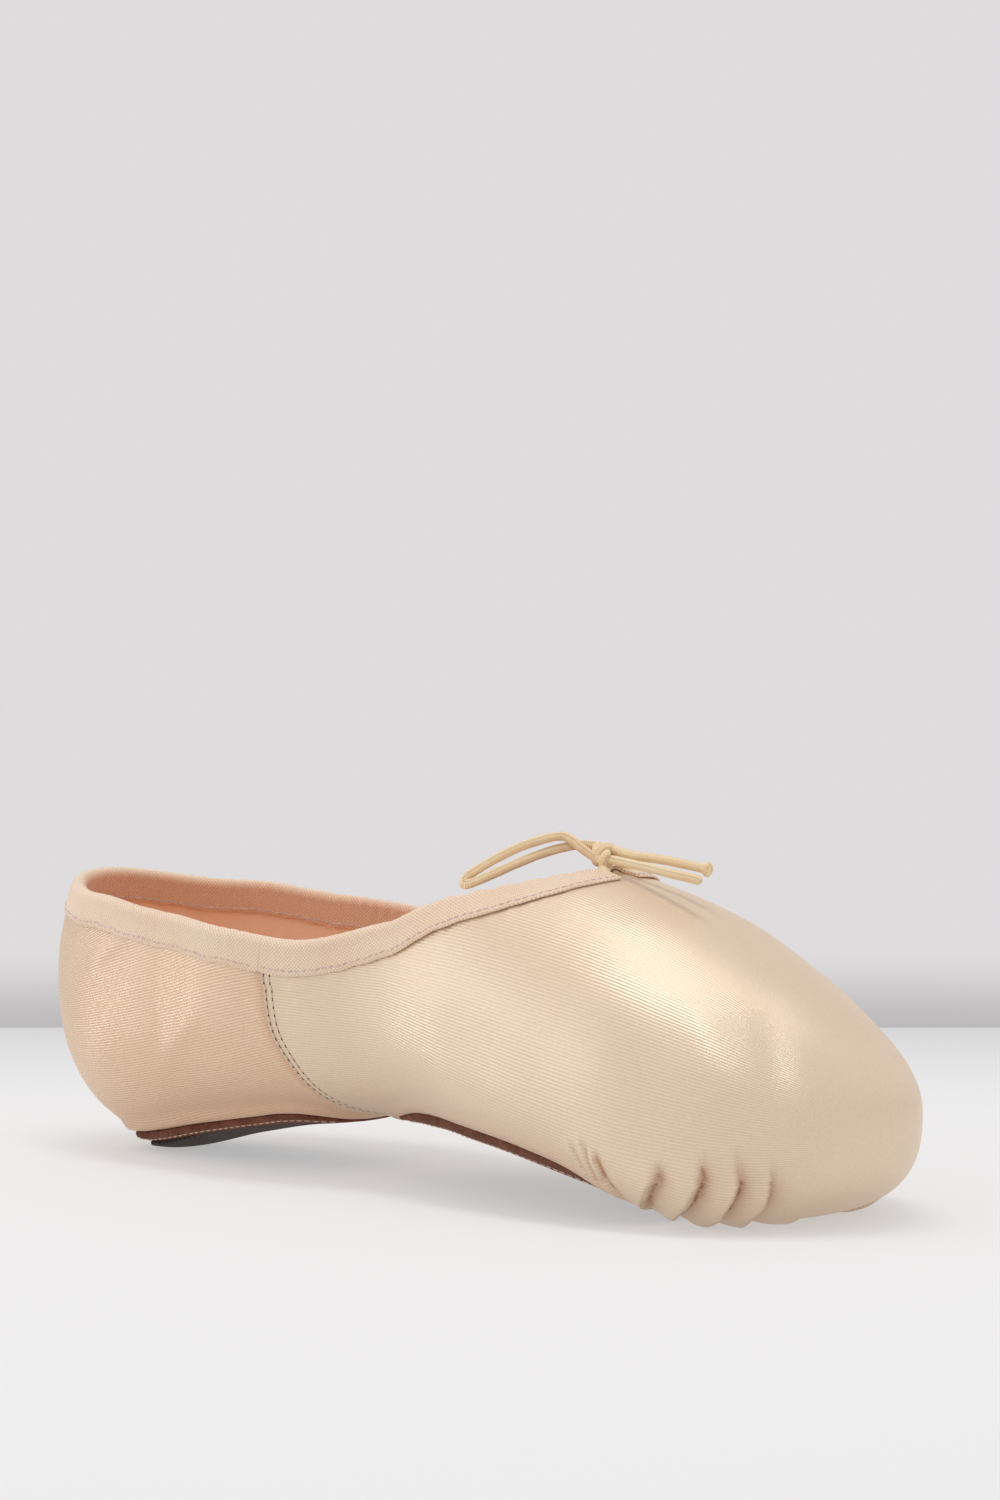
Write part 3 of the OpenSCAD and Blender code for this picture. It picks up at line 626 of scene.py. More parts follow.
def suede_material(name, base, deep, pale, rough=0.95, scale=1.0):
    m = Mat(name)
    o = m.obj()
    nap = m.noise(o, 1500 * scale, 4, 0.7)
    clump = m.noise(o, 260 * scale, 3, 0.6)
    slow = m.noise(o, 50, 2)
    col = m.mix(m.ramp(nap, 0.3, 0.7), deep, base)
    col = m.mix(m.math("MULTIPLY", m.ramp(clump, 0.45, 0.75), 0.55), col, pale)
    col = m.mix(m.math("MULTIPLY", m.ramp(slow, 0.4, 0.7), 0.25), col, deep)
    h = m.math("ADD", nap, m.math("MULTIPLY", clump, 0.6))
    m.set(Base_Color=col, Roughness=rough, Normal=m.bump(h, 0.00025, 0.9), Sheen_Weight=0.1,
          Sheen_Roughness=0.6, Sheen_Tint=(0.9, 0.7, 0.6, 1), Specular_IOR_Level=0.12)
    return m.m


SUEDE = suede_material("suede", rgb(122, 72, 50), rgb(74, 38, 26), rgb(146, 94, 70))
TREAD = suede_material("tread", rgb(58, 52, 50), rgb(32, 29, 29), rgb(80, 74, 71), 0.8, 0.8)


def cord_material():
    m = Mat("cord")
    uv = m.uv()
    o = m.obj()
    braid = []
    for sx, sy in ((1, 1), (1, -6)):
        x = m.dot(uv, (2 * PI / 0.44 * sx, 2 * PI * sy, 0))
        braid.append(m.math("MULTIPLY_ADD", m.math("SINE", x), 0.5, 0.5))
    h = m.math("MAXIMUM", braid[0], braid[1])
    fuzz = m.noise(o, 3000, 2, 0.7)
    slow = m.noise(o, 90, 2)
    col = m.mix(m.ramp(slow, 0.35, 0.65), rgb(250, 230, 190), rgb(246, 218, 174))
    col = m.mix(m.math("MULTIPLY", m.ramp(h, 0.35, 0.95, 1.0, 0.0), 0.45), col, rgb(214, 170, 122))
    m.set(Base_Color=col, Roughness=0.62, Normal=m.bump(m.math("ADD", h, m.math("MULTIPLY", fuzz, 0.2)), 0.00009, 0.9),
          Sheen_Weight=0.3, Specular_IOR_Level=0.35)
    return m.m


CORD = cord_material()


def thread_material(name, a, b):
    m = Mat(name)
    o = m.obj()
    col = m.mix(m.ramp(m.noise(o, 700, 2), 0.35, 0.65), a, b)
    twist = m.lines(m.uv(), (1, 0.6, 0), 0.35)
    m.set(Base_Color=col, Roughness=0.5, Normal=m.bump(twist, 0.00005, 0.6), Sheen_Weight=0.2)
    return m.m


THREAD = thread_material("thread", rgb(238, 220, 200), rgb(226, 202, 180))
THREAD_SEAM = thread_material("seam_thread", rgb(222, 206, 186), rgb(204, 184, 164))
THREAD_TAPE = thread_material("tape_thread", rgb(222, 200, 190), rgb(198, 172, 166))
# painted shade: dark discs where the needle holes are
HOLE_SHADE = thread_material("needle_hole_shade", rgb(96, 74, 60), rgb(120, 94, 78))
THREAD_SOLE = thread_material("sole_thread", rgb(214, 178, 156), rgb(196, 152, 130))


def board_material(name, a, b):
    m = Mat(name)
    o = m.obj()
    n = m.noise(o, 500, 4, 0.7)
    m.set(Base_Color=m.mix(m.ramp(n, 0.3, 0.7), a, b), Roughness=0.9, Normal=m.bump(n, 0.0001, 0.8))
    return m.m


BOARD = board_material("board", rgb(178, 150, 112), rgb(158, 128, 92))
BOX = board_material("box", rgb(206, 190, 160), rgb(190, 170, 138))
FOAM = board_material("foam", rgb(230, 222, 205), rgb(216, 206, 188))


def give(ob, mat):
    ob.data.materials.clear()
    ob.data.materials.append(mat)
    return ob


def bends(ob):
    """Bakes the piece's transform into its points; it is not parented to a body."""
    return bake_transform(ob)


def done(ob, mat, body, slot, *nodes):
    give(ob, mat)
    if body == "arch":
        bends(ob)
    else:
        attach(ob, body)
    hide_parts(*nodes)
    return ob


# ------------------------------------------------------------------ cords
def braid(amount=0.03):
    """Fine spiral ribs of a covered elastic, with a slow unevenness."""
    def f(s, a):
        return amount * (np.sin(2 * PI * s / 0.44 + a) + 0.6 * np.sin(2 * PI * s / 7.3 + 2 * a) - 0.5)
    return f


R_CORD = 1.05
CORD_1 = [  # right end: out of the tape, through the knot, the loop, the knot, the lower tail
    [46.2, -3.4, 67.8], [45, -3.3, 69], [43.4, -2.9, 70.3], [41.8, -1.6, 71.3], [40.9, 0.3, 72.4], [40.3, 0.9, 74],
    [39.2, -0.3, 75.4], [35.9, -2.1, 75.7], [32.5, -5.1, 74.9], [29.6, -8.5, 73.6], [27.4, -13.2, 71.9],
    [24.8, -17.2, 70], [22, -20.6, 68.2], [20.2, -22.2, 67.6], [19.8, -21.2, 69], [21.6, -18.4, 71.1],
    [24, -15, 73.3], [26.4, -11.8, 75.1], [29.1, -8.8, 76.5], [31.6, -6.3, 77.4], [33.6, -5.1, 77.6],
    [35.6, -4.6, 76.9], [37.6, -3.8, 75.2], [39.9, -2.4, 73.4], [41.7, -1.6, 72.9],
    [43.5, -1.1, 72.8], [48, -1.5, 72.4], [55, -2.5, 71.7], [62.5, -3.4, 70.8], [70.2, -4, 69.9]]
CORD_2 = [  # left end: out of the tape, through the knot, the upper tail
    [46.2, 3.8, 67.8], [44.8, 4, 69.2], [43.2, 3.8, 70.8], [41.9, 3, 72.4], [41.5, 1.9, 74],
    [43.3, 1, 74.6], [48, 1.1, 73.8], [54, 1.9, 73.3], [60.5, 2.6, 72.5], [67.3, 3.1, 71.5]]


def free_cord(name, pts, flare):
    pts = np.array(pts, float) + [XO, 0, 0]
    line, _, s = resample(smooth_path(pts, 40), 0.11)
    rad = np.full(len(line), R_CORD - 0.03)
    left = s[-1] - s
    if flare:  # a heat-sealed end that spread into a small disc
        rad = rad + 0.62 * np.exp(-((left - 0.7) / 0.75) ** 2) - 0.5 * np.clip(1 - left / 0.35, 0, 1) ** 2
    else:      # a rounded end
        rad = rad * np.sqrt(np.clip(1 - (1 - np.clip(left / 0.9, 0, 1)) ** 2 * 0.8, 0, 1))
    v, f, uv = tube(line, rad, 24, relief=braid())
    ob = mesh_object(name, v, f, sharp=50, uv=uv)
    return ob, line, float(s[-1])


cord_1, line_1, len_1 = free_cord("bow_cord_right_end", CORD_1, False)
cord_2, line_2, len_2 = free_cord("bow_cord_left_end", CORD_2, True)

# The knot: the cord's own wrap round the strands, one and a half turns
kc = np.array([41.6 + XO, -0.3, 73.55])
ax = unit(np.array([1, -0.08, -0.12]))
e1 = unit(np.cross(ax, [0, 0, 1.0]))
e2 = np.cross(e1, ax)
wrap = []
for q in np.linspace(0, 1, 90):
    an = math.radians(-150 + 560 * q)
    r = 2.05 - 0.75 * (abs(2 * q - 1) ** 5)
    wrap.append(kc + ax * (-1.7 + 3.3 * q + 0.35 * math.sin(an)) + r * (math.cos(an) * e1 * 1.05 + math.sin(an) * e2 * 0.92))
wrap = np.array(wrap)
cross = smooth_path(np.array([kc + ax * 1.5 + e1 * 0.6 - e2 * 1.2, kc + ax * 0.2 + e1 * 1.9 - e2 * 0.8,
                              kc - ax * 1.2 + e1 * 1.9 + e2 * 0.6, kc - ax * 2.2 + e1 * 0.4 + e2 * 1.7,
                              kc - ax * 2.0 - e1 * 1.0 + e2 * 1.2]), 14)
parts = []
for path in (resample(wrap, 0.11)[0], resample(cross, 0.11)[0]):
    n = len(path)
    taper = np.clip(np.minimum(np.arange(n), np.arange(n)[::-1]) / 5, 0, 1) ** 0.5 * 0.35 + 0.65
    parts.append(tube(path, (R_CORD - 0.05) * taper, 28, relief=braid()))
v, f, uv = join(parts)
knot = mesh_object("bow_knot_wraps", v, f, sharp=50, uv=uv)
done(knot, CORD, "forefoot", "cord", "bow_knot")
done(cord_1, CORD, "forefoot", "cord", "bow_loop", "bow_tail_lower")
done(cord_2, CORD, "forefoot", "cord", "bow_tail_upper")


# ------------------------------------------------------------------ vamp
def girth_columns(n_low, n_up, x=75.0):
    """Height parameters spaced evenly along the section, finer below the widest line."""
    a = np.linspace(0, 1, 1501)
    p = shape(x, a)
    s = np.r_[0, np.cumsum(np.linalg.norm(np.diff(p, axis=0), axis=1))]
    h = s[750]
    lo = np.interp(np.linspace(0, h, n_low + 1), s, a)
    hi = np.interp(np.linspace(h, s[-1], n_up + 1), s, a)
    lo[-1] = 0.5
    half = np.r_[lo, hi[1:]]
    half[-1] = 1.0
    return np.r_[-half[:0:-1], half]


def vamp_rows(fine=True):
    th0 = (XTH - seam_x(1.0)) / (XN - seam_x(1.0))
    f1 = (X1 - seam_x(1.0)) / (XN - seam_x(1.0))
    n1, n2, n3, n4 = (24, 34, 78, 84) if fine else (12, 22, 18, 26)
    ta = np.linspace(0, PI / 2, n2 + 1)
    xs = X1 + (XTH - X1) * np.sin(ta) ** (2 / N_THROAT)
    keep = [xs[0]]
    for q in xs[1:]:
        if q - keep[-1] > 0.02:
            keep.append(q)
    keep[-1] = XTH
    f_th = (np.array(keep) - seam_x(1.0)) / (XN - seam_x(1.0))
    f = np.r_[np.linspace(0, f1, n1 + 1)[:-1], f_th, np.linspace(th0, 1, n3 + 1)[1:]]
    row_th = n1 + len(f_th) - 1
    t = np.linspace(0, 90, 2001)
    p = nose(t, 0.35)
    s = np.r_[0, np.cumsum(np.linalg.norm(np.diff(p, axis=0), axis=1))]
    tn = np.interp(np.linspace(0, s[-1], n4 + 1)[1:], s, t)
    tn[-1] = 90
    return f, tn, row_th


def vamp_points(f, tn, cols, d):
    """Grid of the vamp at inset d, a number or a function of the length."""
    x0 = seam_x(cols)
    X = x0[None] + (XN - x0[None]) * f[:, None]
    V = np.broadcast_to(cols, X.shape)
    dd = d(X) if callable(d) else d
    dn = d(np.array(XN)) if callable(d) else d
    return np.concatenate([shape(X, V, dd), nose(tn[:, None], cols[None], dn)])


def vamp_index(R, C, row_th):
    idx = np.arange(R * C).reshape(R, C)
    idx[row_th:, C - 1] = idx[row_th:, 0]
    idx[-1, :] = idx[-1, 0]
    return idx.tolist()


def closed_shell(name, outer, inner, idx, edges, **kw):
    n = outer.shape[0] * outer.shape[1]
    faces = cells(idx) + [[i + n for i in f] for f in cells(idx, True)]
    for e in edges:
        faces += strip_faces(e, [i + n for i in e])
    v = np.concatenate([outer.reshape(-1, 3), inner.reshape(-1, 3)])
    return mesh_object(name, v, faces, **kw)


# Pleats under the toe: each line runs from the edge of the outsole outwards
PLEATS = [
    ([[75.6, -28.6, 3.6], [77.7, -31.6, 5.9], [81.4, -35.1, 8.7], [83.7, -36.6, 11.5], [85.3, -37.2, 16.5]], 1.0),
    ([[77.6, -22.4, 1.4], [84.8, -28.6, 4.1], [91.3, -32.5, 8.9], [93, -33.6, 12.8], [93.6, -34.2, 19]], 1.15),
    ([[78.2, -14.5, 0.4], [84.7, -20.4, 1.4], [95.5, -27.1, 5.8], [99.1, -28.6, 10.4], [99.5, -29.6, 14], [99.3, -30.3, 20]], 1.15),
    ([[79.2, -7, 0.2], [88, -14.5, 0.7], [97.1, -21, 3.2], [102, -22.9, 6.7], [104.4, -24.8, 12.3], [104.8, -25.8, 18.5]], 1.0),
    ([[80, -1, 0.1], [90, -5.5, 0.4], [100, -10.5, 2.2], [105, -12.6, 4.6]], 0.45),
    ([[80, 6, 0.1], [90, 9, 0.4], [99, 13.5, 2.4], [105.4, 16.8, 6.4]], 0.8),
    ([[79, 13, 0.3], [86, 18.6, 1.2], [95.5, 25, 5], [101.4, 27, 10.4], [102, 27.8, 18]], 1.1),
    ([[77.8, 21, 1.1], [84.5, 27.4, 3.6], [91.5, 31.7, 8.2], [94.6, 32.8, 18]], 1.15),
    ([[75.8, 28, 3.4], [79.5, 32.6, 6.4], [84.5, 35.8, 10], [86.4, 36.6, 16]], 1.0),
    ([[66.4, -35.2, 8.6], [65.6, -36.6, 10.6], [63.9, -38.4, 15.1], [62.6, -38.9, 19.5]], 0.3),
    ([[68.4, -34.6, 7.8], [67.6, -36, 10], [67, -38.2, 15], [66, -39, 20.5]], 0.42),
    ([[71.4, -33, 6.6], [70.3, -35, 9], [69.8, -37.6, 12.9], [69.2, -38.9, 18]], 0.65),
    ([[66.4, 35.2, 8.6], [65, 37.2, 11.5], [63.2, 38.9, 18]], 0.6),
    ([[71.4, 33.4, 6.8], [70.4, 35.8, 10], [69.6, 38.7, 17]], 0.85),
]


def pleat_relief(P, Nn):
    """Height over the smooth satin: each lobe sinks towards the next crease and steps up after it. Also painted shade,
    darkest in each crease and along the sinking side.
    """
    out = np.zeros(P.shape[:-1])
    painted_shade = np.zeros(P.shape[:-1])
    for k, (line, amp) in enumerate(PLEATS):
        ln = smooth_path(np.array(line) + [XO, 0, 0], 6)
        near = np.abs(P - ln.mean(0)).max(-1) < 34
        if not near.any():
            continue
        q, nn = P[near], Nn[near]
        dist, share, off, tan = to_line(q, ln)
        side = np.sign(np.einsum("ij,ij->i", np.cross(tan, nn), off))
        y_sign = -1 if ln[-1][1] < 0 else 1
        side = side * y_sign                      # +1 on the side of the toe
        ext = np.exp(-np.clip(dist - np.abs(np.einsum("ij,ij->i", unit(off), np.cross(tan, nn))) * dist, 0, None) ** 2 / 1.6)
        fade = step01(1.0, 0.7, share) * (0.55 + 0.45 * step01(0, 0.2, share)) * ext
        s = dist * side
        w_up, w_dn = (4.6, 3.4) if k < 9 else (1.7, 1.3)
        up = np.where(s > 0, 1.25 * np.exp(-((np.clip(s - 0.5, 0, None) / (1.5 * w_up)) ** 1.5)) * step01(-0.05, 0.75, s), 0)
        down = np.where(s <= 0, -1.5 * np.exp(-((np.abs(s) / (1.1 * w_dn)) ** 1.3)), -1.5 * np.exp(-(s / 0.24) ** 2))
        val = amp * fade * (0.28 * np.exp(-((s / 9) ** 2)) + up + down)
        out[near] += val
        # painted shade: darkest in the crease and along the sinking side of each lobe
        dark = np.where(s <= 0, 0.65 * np.exp(-np.abs(s) / (0.85 * w_dn)) + 0.6 * np.exp(-np.abs(s) / 0.6), np.exp(-(s / 0.28) ** 2))
        painted_shade[near] = np.maximum(painted_shade[near], amp * fade * dark)
    return out, painted_shade


def soft_relief(P):
    out = 0.16 * swell(P, 3, 60) + 0.07 * swell(P, 5, 24)
    return out


cols = girth_columns(104, 46)
f_rows, t_rows, row_th = vamp_rows()
outer = vamp_points(f_rows, t_rows, cols, 0.0)
lift_dir = unit(vamp_points(f_rows, t_rows, cols, -0.4) - vamp_points(f_rows, t_rows, cols, 0.4))
lift_dir[-1] = [1, 0, 0]
xm = outer[..., 0] - XO
rise, painted_shade_v = pleat_relief(outer, lift_dir)
rise += soft_relief(outer) * step01(-25, -5, xm)
# where the toe box begins, the satin dips a little
dip = to_line(outer, np.array([[14, -29, 57], [26, -33.5, 47], [38, -38, 35], [46, -39, 24]]) + [XO, 0, 0])
rise -= 0.42 * np.exp(-((dip[0] / 6.5) ** 2)) * step01(0.0, 0.2, dip[1]) * step01(1.0, 0.7, dip[1])
dip = to_line(outer, np.array([[16, 29, 57], [28, 34, 46], [42, 38, 30]]) + [XO, 0, 0])
rise -= 0.35 * np.exp(-((dip[0] / 6.5) ** 2)) * step01(0.0, 0.2, dip[1]) * step01(1.0, 0.7, dip[1])
# gathers below the binding near the throat
V = np.tile(cols, (outer.shape[0], 1))
rim_d = np.linalg.norm(outer - outer[:, :1], axis=-1)
rim_d = np.minimum(rim_d, np.linalg.norm(outer - outer[:, -1:], axis=-1))
along = np.r_[0, np.cumsum(np.linalg.norm(np.diff(outer[:, 0], axis=0), axis=1))]
th_amt = step01(-5, 30, xm) * step01(52, 44, xm)
rise += 0.13 * th_amt * np.sin(2 * PI * along[:, None] / 4.2 + 1.5 * np.sin(along[:, None] / 7)) * np.exp(-((rim_d / 8.5) ** 2))
# under the outsole it stays smooth, and thin cloth never grows past its room
low_v = np.abs(V) < 0.45
gap = np.where(low_v & (xm > -40), beyond(outer, FORE_HALF, -9.5, 75.5, 4), 50.0)
under_sole = step01(1.2, -1.2, gap) * step01(77.5, 74.5, xm)
rise *= 1 - under_sole
rise += 0.95 * np.exp(-(((gap - 1.0) / 1.6) ** 2)) * step01(75, 69, xm)
heel_gap = np.where(low_v & (xm < 0), beyond(outer, HEEL_HALF, -92, -24.5, 4), 50.0)
rise += 0.9 * np.exp(-(((heel_gap - 1.0) / 1.8) ** 2))
# the side of the box turns the corner in a soft ridge, then a faint hollow
for line, h, w in (([[80, -22, 51], [90, -28.5, 40], [95.5, -32, 28], [96.5, -32.8, 20]], 0.65, 5.5),
                   ([[95, -15, 46], [102, -21, 36], [105.5, -25, 26], [106.5, -25.8, 17]], -0.65, 4.2),
                   ([[80, 22, 51], [90, 28.5, 40], [95.5, 32, 28], [96.5, 32.8, 20]], 0.4, 5.0),
                   ([[95, 15, 46], [102, 21, 36], [105.5, 25, 26], [106.5, 25.8, 17]], -0.35, 4.2)):
    dd, share, _, _ = to_line(outer, smooth_path(np.array(line) + [XO, 0, 0], 5))
    rise += h * np.exp(-((dd / w) ** 2)) * np.sin(PI * np.clip(share, 0.02, 0.98)) ** 0.6
rise = np.clip(rise, -0.74, 2.2)
# folded edge along the side seam
edge = np.clip((f_rows * 100.0), 0, None)
ed = np.zeros(outer.shape[:-1])
ed[: len(f_rows)] = (f_rows[:, None] * (XN - seam_x(cols)[None]))
ed[len(f_rows):] = 99
rise += 0.22 * np.exp(-((ed / 3.2) ** 4)) - 0.2 * np.exp(-((ed / 0.45) ** 2))
outer = outer + lift_dir * rise[..., None]
outer[..., 2] = np.maximum(outer[..., 2], 0.04)
inner = vamp_points(f_rows, t_rows, cols, SATIN_T)
idx = vamp_index(outer.shape[0], outer.shape[1], row_th)
C = len(cols)
vamp = closed_shell("vamp_satin_cloth", outer, inner, idx,
                    [[r for r in idx[0]], [idx[r][0] for r in range(row_th, -1, -1)], [idx[r][C - 1] for r in range(row_th + 1)]],
                    sharp=70)
# painted shade on the vamp: near the outsole's edge, in the seam's dip and low on the sides near the floor
painted_shade_v = np.maximum(painted_shade_v, 0.55 * np.exp(-((np.clip(np.minimum(gap, heel_gap) - 1, 0, None) / 2.6) ** 1.2)))
painted_shade_v = np.maximum(painted_shade_v, 0.5 * np.exp(-((ed / 1.3) ** 2)))
high = np.clip(outer[..., 2] - tab(LIFT, xm), 0, None)
painted_shade_v = np.maximum(painted_shade_v, 0.62 * np.exp(-((high / 7.0) ** 1.3)) * step01(-26, -16, xm) * step01(88, 70, xm))
painted_shade_v = np.maximum(painted_shade_v, 0.35 * np.exp(-((high / 4.5) ** 1.3)))
shade_by(vamp, outer, painted_shade_v)
done(vamp, SATIN, "arch", "satin", "vamp_satin")

cols2 = girth_columns(26, 22)
f2, t2, rt2 = vamp_rows(False)
lo_ = vamp_points(f2, t2, cols2, lambda x: lin(x) + 0.02)
li_ = vamp_points(f2, t2, cols2, lambda x: lin(x) + LINING_T)
ldir = unit(vamp_points(f2, t2, cols2, 1.0) - vamp_points(f2, t2, cols2, 1.8))
ldir[-1] = [1, 0, 0]
li_ = li_ + ldir * (0.10 * swell(li_, 9, 18) - 0.1)[..., None]
idx2 = vamp_index(lo_.shape[0], lo_.shape[1], rt2)
C2 = len(cols2)
vlin = closed_shell("vamp_lining_cloth", lo_, li_, idx2,
                    [[r for r in idx2[0]], [idx2[r][0] for r in range(rt2, -1, -1)], [idx2[r][C2 - 1] for r in range(rt2 + 1)]],
                    sharp=70)
done(vlin, LINING, "arch", "lining", "vamp_lining")


# ------------------------------------------------------------------ heel quarter
def heel_points(al, fr, cols, d, reach=0.1):
    x1 = seam_x(cols) - reach
    X = XH + (x1[None] - XH) * fr[:, None]
    return np.concatenate([fan(al[:, None], cols[None], d), shape(X, cols[None], d)])


def heel_index(R, C, na):
    idx = np.arange(R * C).reshape(R, C)
    mid = C // 2
    idx[:na, mid] = idx[0, mid]
    for j in range(mid + 1, C):
        idx[0, j] = idx[0, C - 1 - j]
    return idx.tolist()


def heel_shell(name, al, fr, cols, do, di, relief=None, reach=0.1, inner_relief=None):
    po = heel_points(al, fr, cols, do, reach)
    pi_ = heel_points(al, fr, cols, di, reach)
    ndir = unit(heel_points(al, fr, cols, do - 0.4, reach) - heel_points(al, fr, cols, do + 0.4, reach))
    if relief is not None:
        po = po + ndir * relief(po, fr, cols, len(al))[..., None]
        HEEL_SHADE_DATA.append(po)
    if inner_relief is not None:
        pi_ = pi_ + ndir * inner_relief(pi_)[..., None]
    R, C = po.shape[:2]
    idx = heel_index(R, C, len(al))
    return closed_shell(name, po, pi_, idx,
                        [[r for r in idx[-1]], [idx[r][0] for r in range(R)], [idx[r][C - 1] for r in range(R)]], sharp=70)


FOLDS = [  # soft ridges (+) and dents (-) of the stretch cloth: line, height, half width
    ([[-73, -30.6, 52], [-80, -30.2, 48], [-88, -28, 43]], 0.8, 2.4),
    ([[-46, -33.6, 37], [-55, -33, 29.5], [-64, -29.8, 21]], 0.9, 3.0),
    ([[-66, -31.5, 50], [-76, -31, 43], [-86, -29, 36]], -0.65, 4.6),
    ([[-60, -32.5, 40], [-72, -31, 33], [-82, -28, 26]], -0.3, 5.5),
    ([[-38, -34.8, 30], [-46, -34, 24], [-52, -31, 18]], -0.35, 3.5),
    ([[-70, 30.6, 52], [-80, 30.2, 47], [-90, 27, 41]], 0.5, 2.8),
    ([[-44, 33.6, 38], [-54, 33, 30], [-64, 29.8, 22]], 0.5, 3.4),
    ([[-64, 31.5, 48], [-75, 31, 41], [-86, 29, 34]], -0.5, 5.0),
    ([[-112, -8, 46], [-114.6, 3, 40], [-113, 10, 33]], 0.3, 4.0),
    ([[-110, 12, 52], [-113, 4, 47], [-113, -8, 41]], -0.3, 4.5),
]


# the heel's painted shade values and the cloth points they belong to
HEEL_SHADE_DATA = []


def heel_relief(P, fr, cols, na):
    out = 0.18 * swell(P, 12, 46) + 0.08 * swell(P, 14, 20)
    for line, h, w in FOLDS:
        dist, share, _, _ = to_line(P, smooth_path(np.array(line) + [XO, 0, 0], 5))
        out += h * np.exp(-((dist / w) ** 2)) * np.sin(PI * np.clip(share, 0.02, 0.98)) ** 0.7
    x1 = seam_x(cols)
    left = np.full(P.shape[:-1], 99.0)
    left[na:] = (1 - fr[:, None]) * (x1[None] - XH)
    # drawn down into the seam, and flat where the sole lies
    out = out * step01(0, 6, left) - 0.18 * np.exp(-((left / 1.6) ** 2))
    low_v = np.abs(cols)[None] < 0.42
    gap = np.where(low_v, beyond(P, HEEL_HALF, -92, -24.5, 4), 50.0)
    out = out * (1 - step01(1.2, -1.2, gap))
    out += 0.9 * step01(4.5, -0.5, gap) + 0.85 * np.exp(-(((gap - 1.0) / 1.6) ** 2))
    # small gathers just above the sole
    g = np.exp(-(((gap - 2.6) / 2.0) ** 2))
    out += 0.08 * g * np.sin(2 * PI * P[..., 0] / 2.1 + 1.2 * np.sin(P[..., 0] / 5))
    high = np.clip(P[..., 2] - tab(LIFT, P[..., 0] - XO), 0, None)
    # painted shade on the heel: low on the sides near the floor and in the seam's dip
    HEEL_SHADE_DATA.append(np.clip(0.5 * np.exp(-((high / 6.5) ** 1.3)) + 0.5 * np.exp(-((left / 1.3) ** 2)), 0, 0.9))
    return np.clip(out, -0.65, 2.1)


hcols = girth_columns(64, 52, -62.0)
h_al = np.linspace(180, 90, 92)
h_fr = np.linspace(0, 1, 58)[1:]
heel = heel_shell("heel_satin_cloth", h_al, h_fr, hcols, 0.0, SATIN_T, heel_relief)
shade_by(heel, HEEL_SHADE_DATA[1], HEEL_SHADE_DATA[0])
done(heel, STRETCH, "arch", "stretch_satin", "heel_satin")
lcols = girth_columns(30, 30, -62.0)
hl = heel_shell("heel_lining_cloth", np.linspace(180, 90, 46), np.linspace(0, 1, 30)[1:], lcols, STACK + 0.02, EDGE_IN,
                inner_relief=lambda p: 0.1 * swell(p, 21, 16) - 0.1, reach=0.0)
done(hl, LINING, "arch", "lining", "heel_lining")


# ------------------------------------------------------------------ topline
def dense_edge(kind):
    """Points of the cut edge: front right, front left or back."""
    if kind == "right":
        xs = np.linspace(-28.98, X1, 340)
        ta = np.radians(np.linspace(0, 84.5, 560))[1:]
        x = np.r_[xs, X1 + (XTH - X1) * np.sin(ta) ** (2 / N_THROAT)]
        return shape(x, -1.0)
    if kind == "left":
        p = dense_edge("right")[::-1].copy()
        p[:, 1] *= -1
        return p
    xs = np.linspace(-29.02, XH, 340)
    a = fan(np.linspace(90, 180, 560)[1:], 1.0)
    left = np.concatenate([shape(xs, 1.0), a])
    right = left[:-1][::-1].copy()
    right[:, 1] *= -1
    return np.concatenate([left, right])


def edge_frames(kind, pitch):
    p, _, s = resample(dense_edge(kind), pitch)
    t = unit(np.gradient(p, axis=0))
    g = outward(p)
    n = unit(g - t * np.einsum("ij,ij->i", g, t)[:, None])
    b = np.cross(t, n)
    return p, n, b, t, s


def hug(p, n, b, w):
    """How far the satin lies from the straight line b at distance w below the edge, along n."""
    q = p + b * w
    d = np.zeros(len(p))
    for _ in range(4):
        here = q + n * d[:, None]
        l0 = level(here)
        dl = (level(here + n * 0.05) - level(here - n * 0.05)) / 0.1
        d = d + np.clip((1 - l0) / np.where(np.abs(dl) < 1e-4, 1e-4, dl), -1, 1)
    return np.clip(d, -2.2, 0.6)


TAPE_T, TAPE_W, CH = 0.55, 5.0, 1.05 + 0.14
MIDN = -EDGE_IN / 2


def tape_profile():
    """Centre line of the tape's section as [n, w, leg], leg = 1 outer, 0 top, -1 inner."""
    h = TAPE_T / 2
    R = CH + h
    outer = [[0.12 + h, w, 1] for w in (TAPE_W, 4.4, 3.8, 3.2, 2.6, 2.0, 1.4, 0.8)]
    arc = []
    for a in np.linspace(22, -202, 19):
        arc.append([MIDN + (R + 0.0) * math.cos(math.radians(a)), -1.12 + R * math.sin(math.radians(a)), 0])
    inner = [[-EDGE_IN - 0.45 - h, w, -1] for w in (0.8, 1.4, 2.0, 2.6, 3.2, 3.8, 4.4)]
    return np.array(outer + arc + inner)


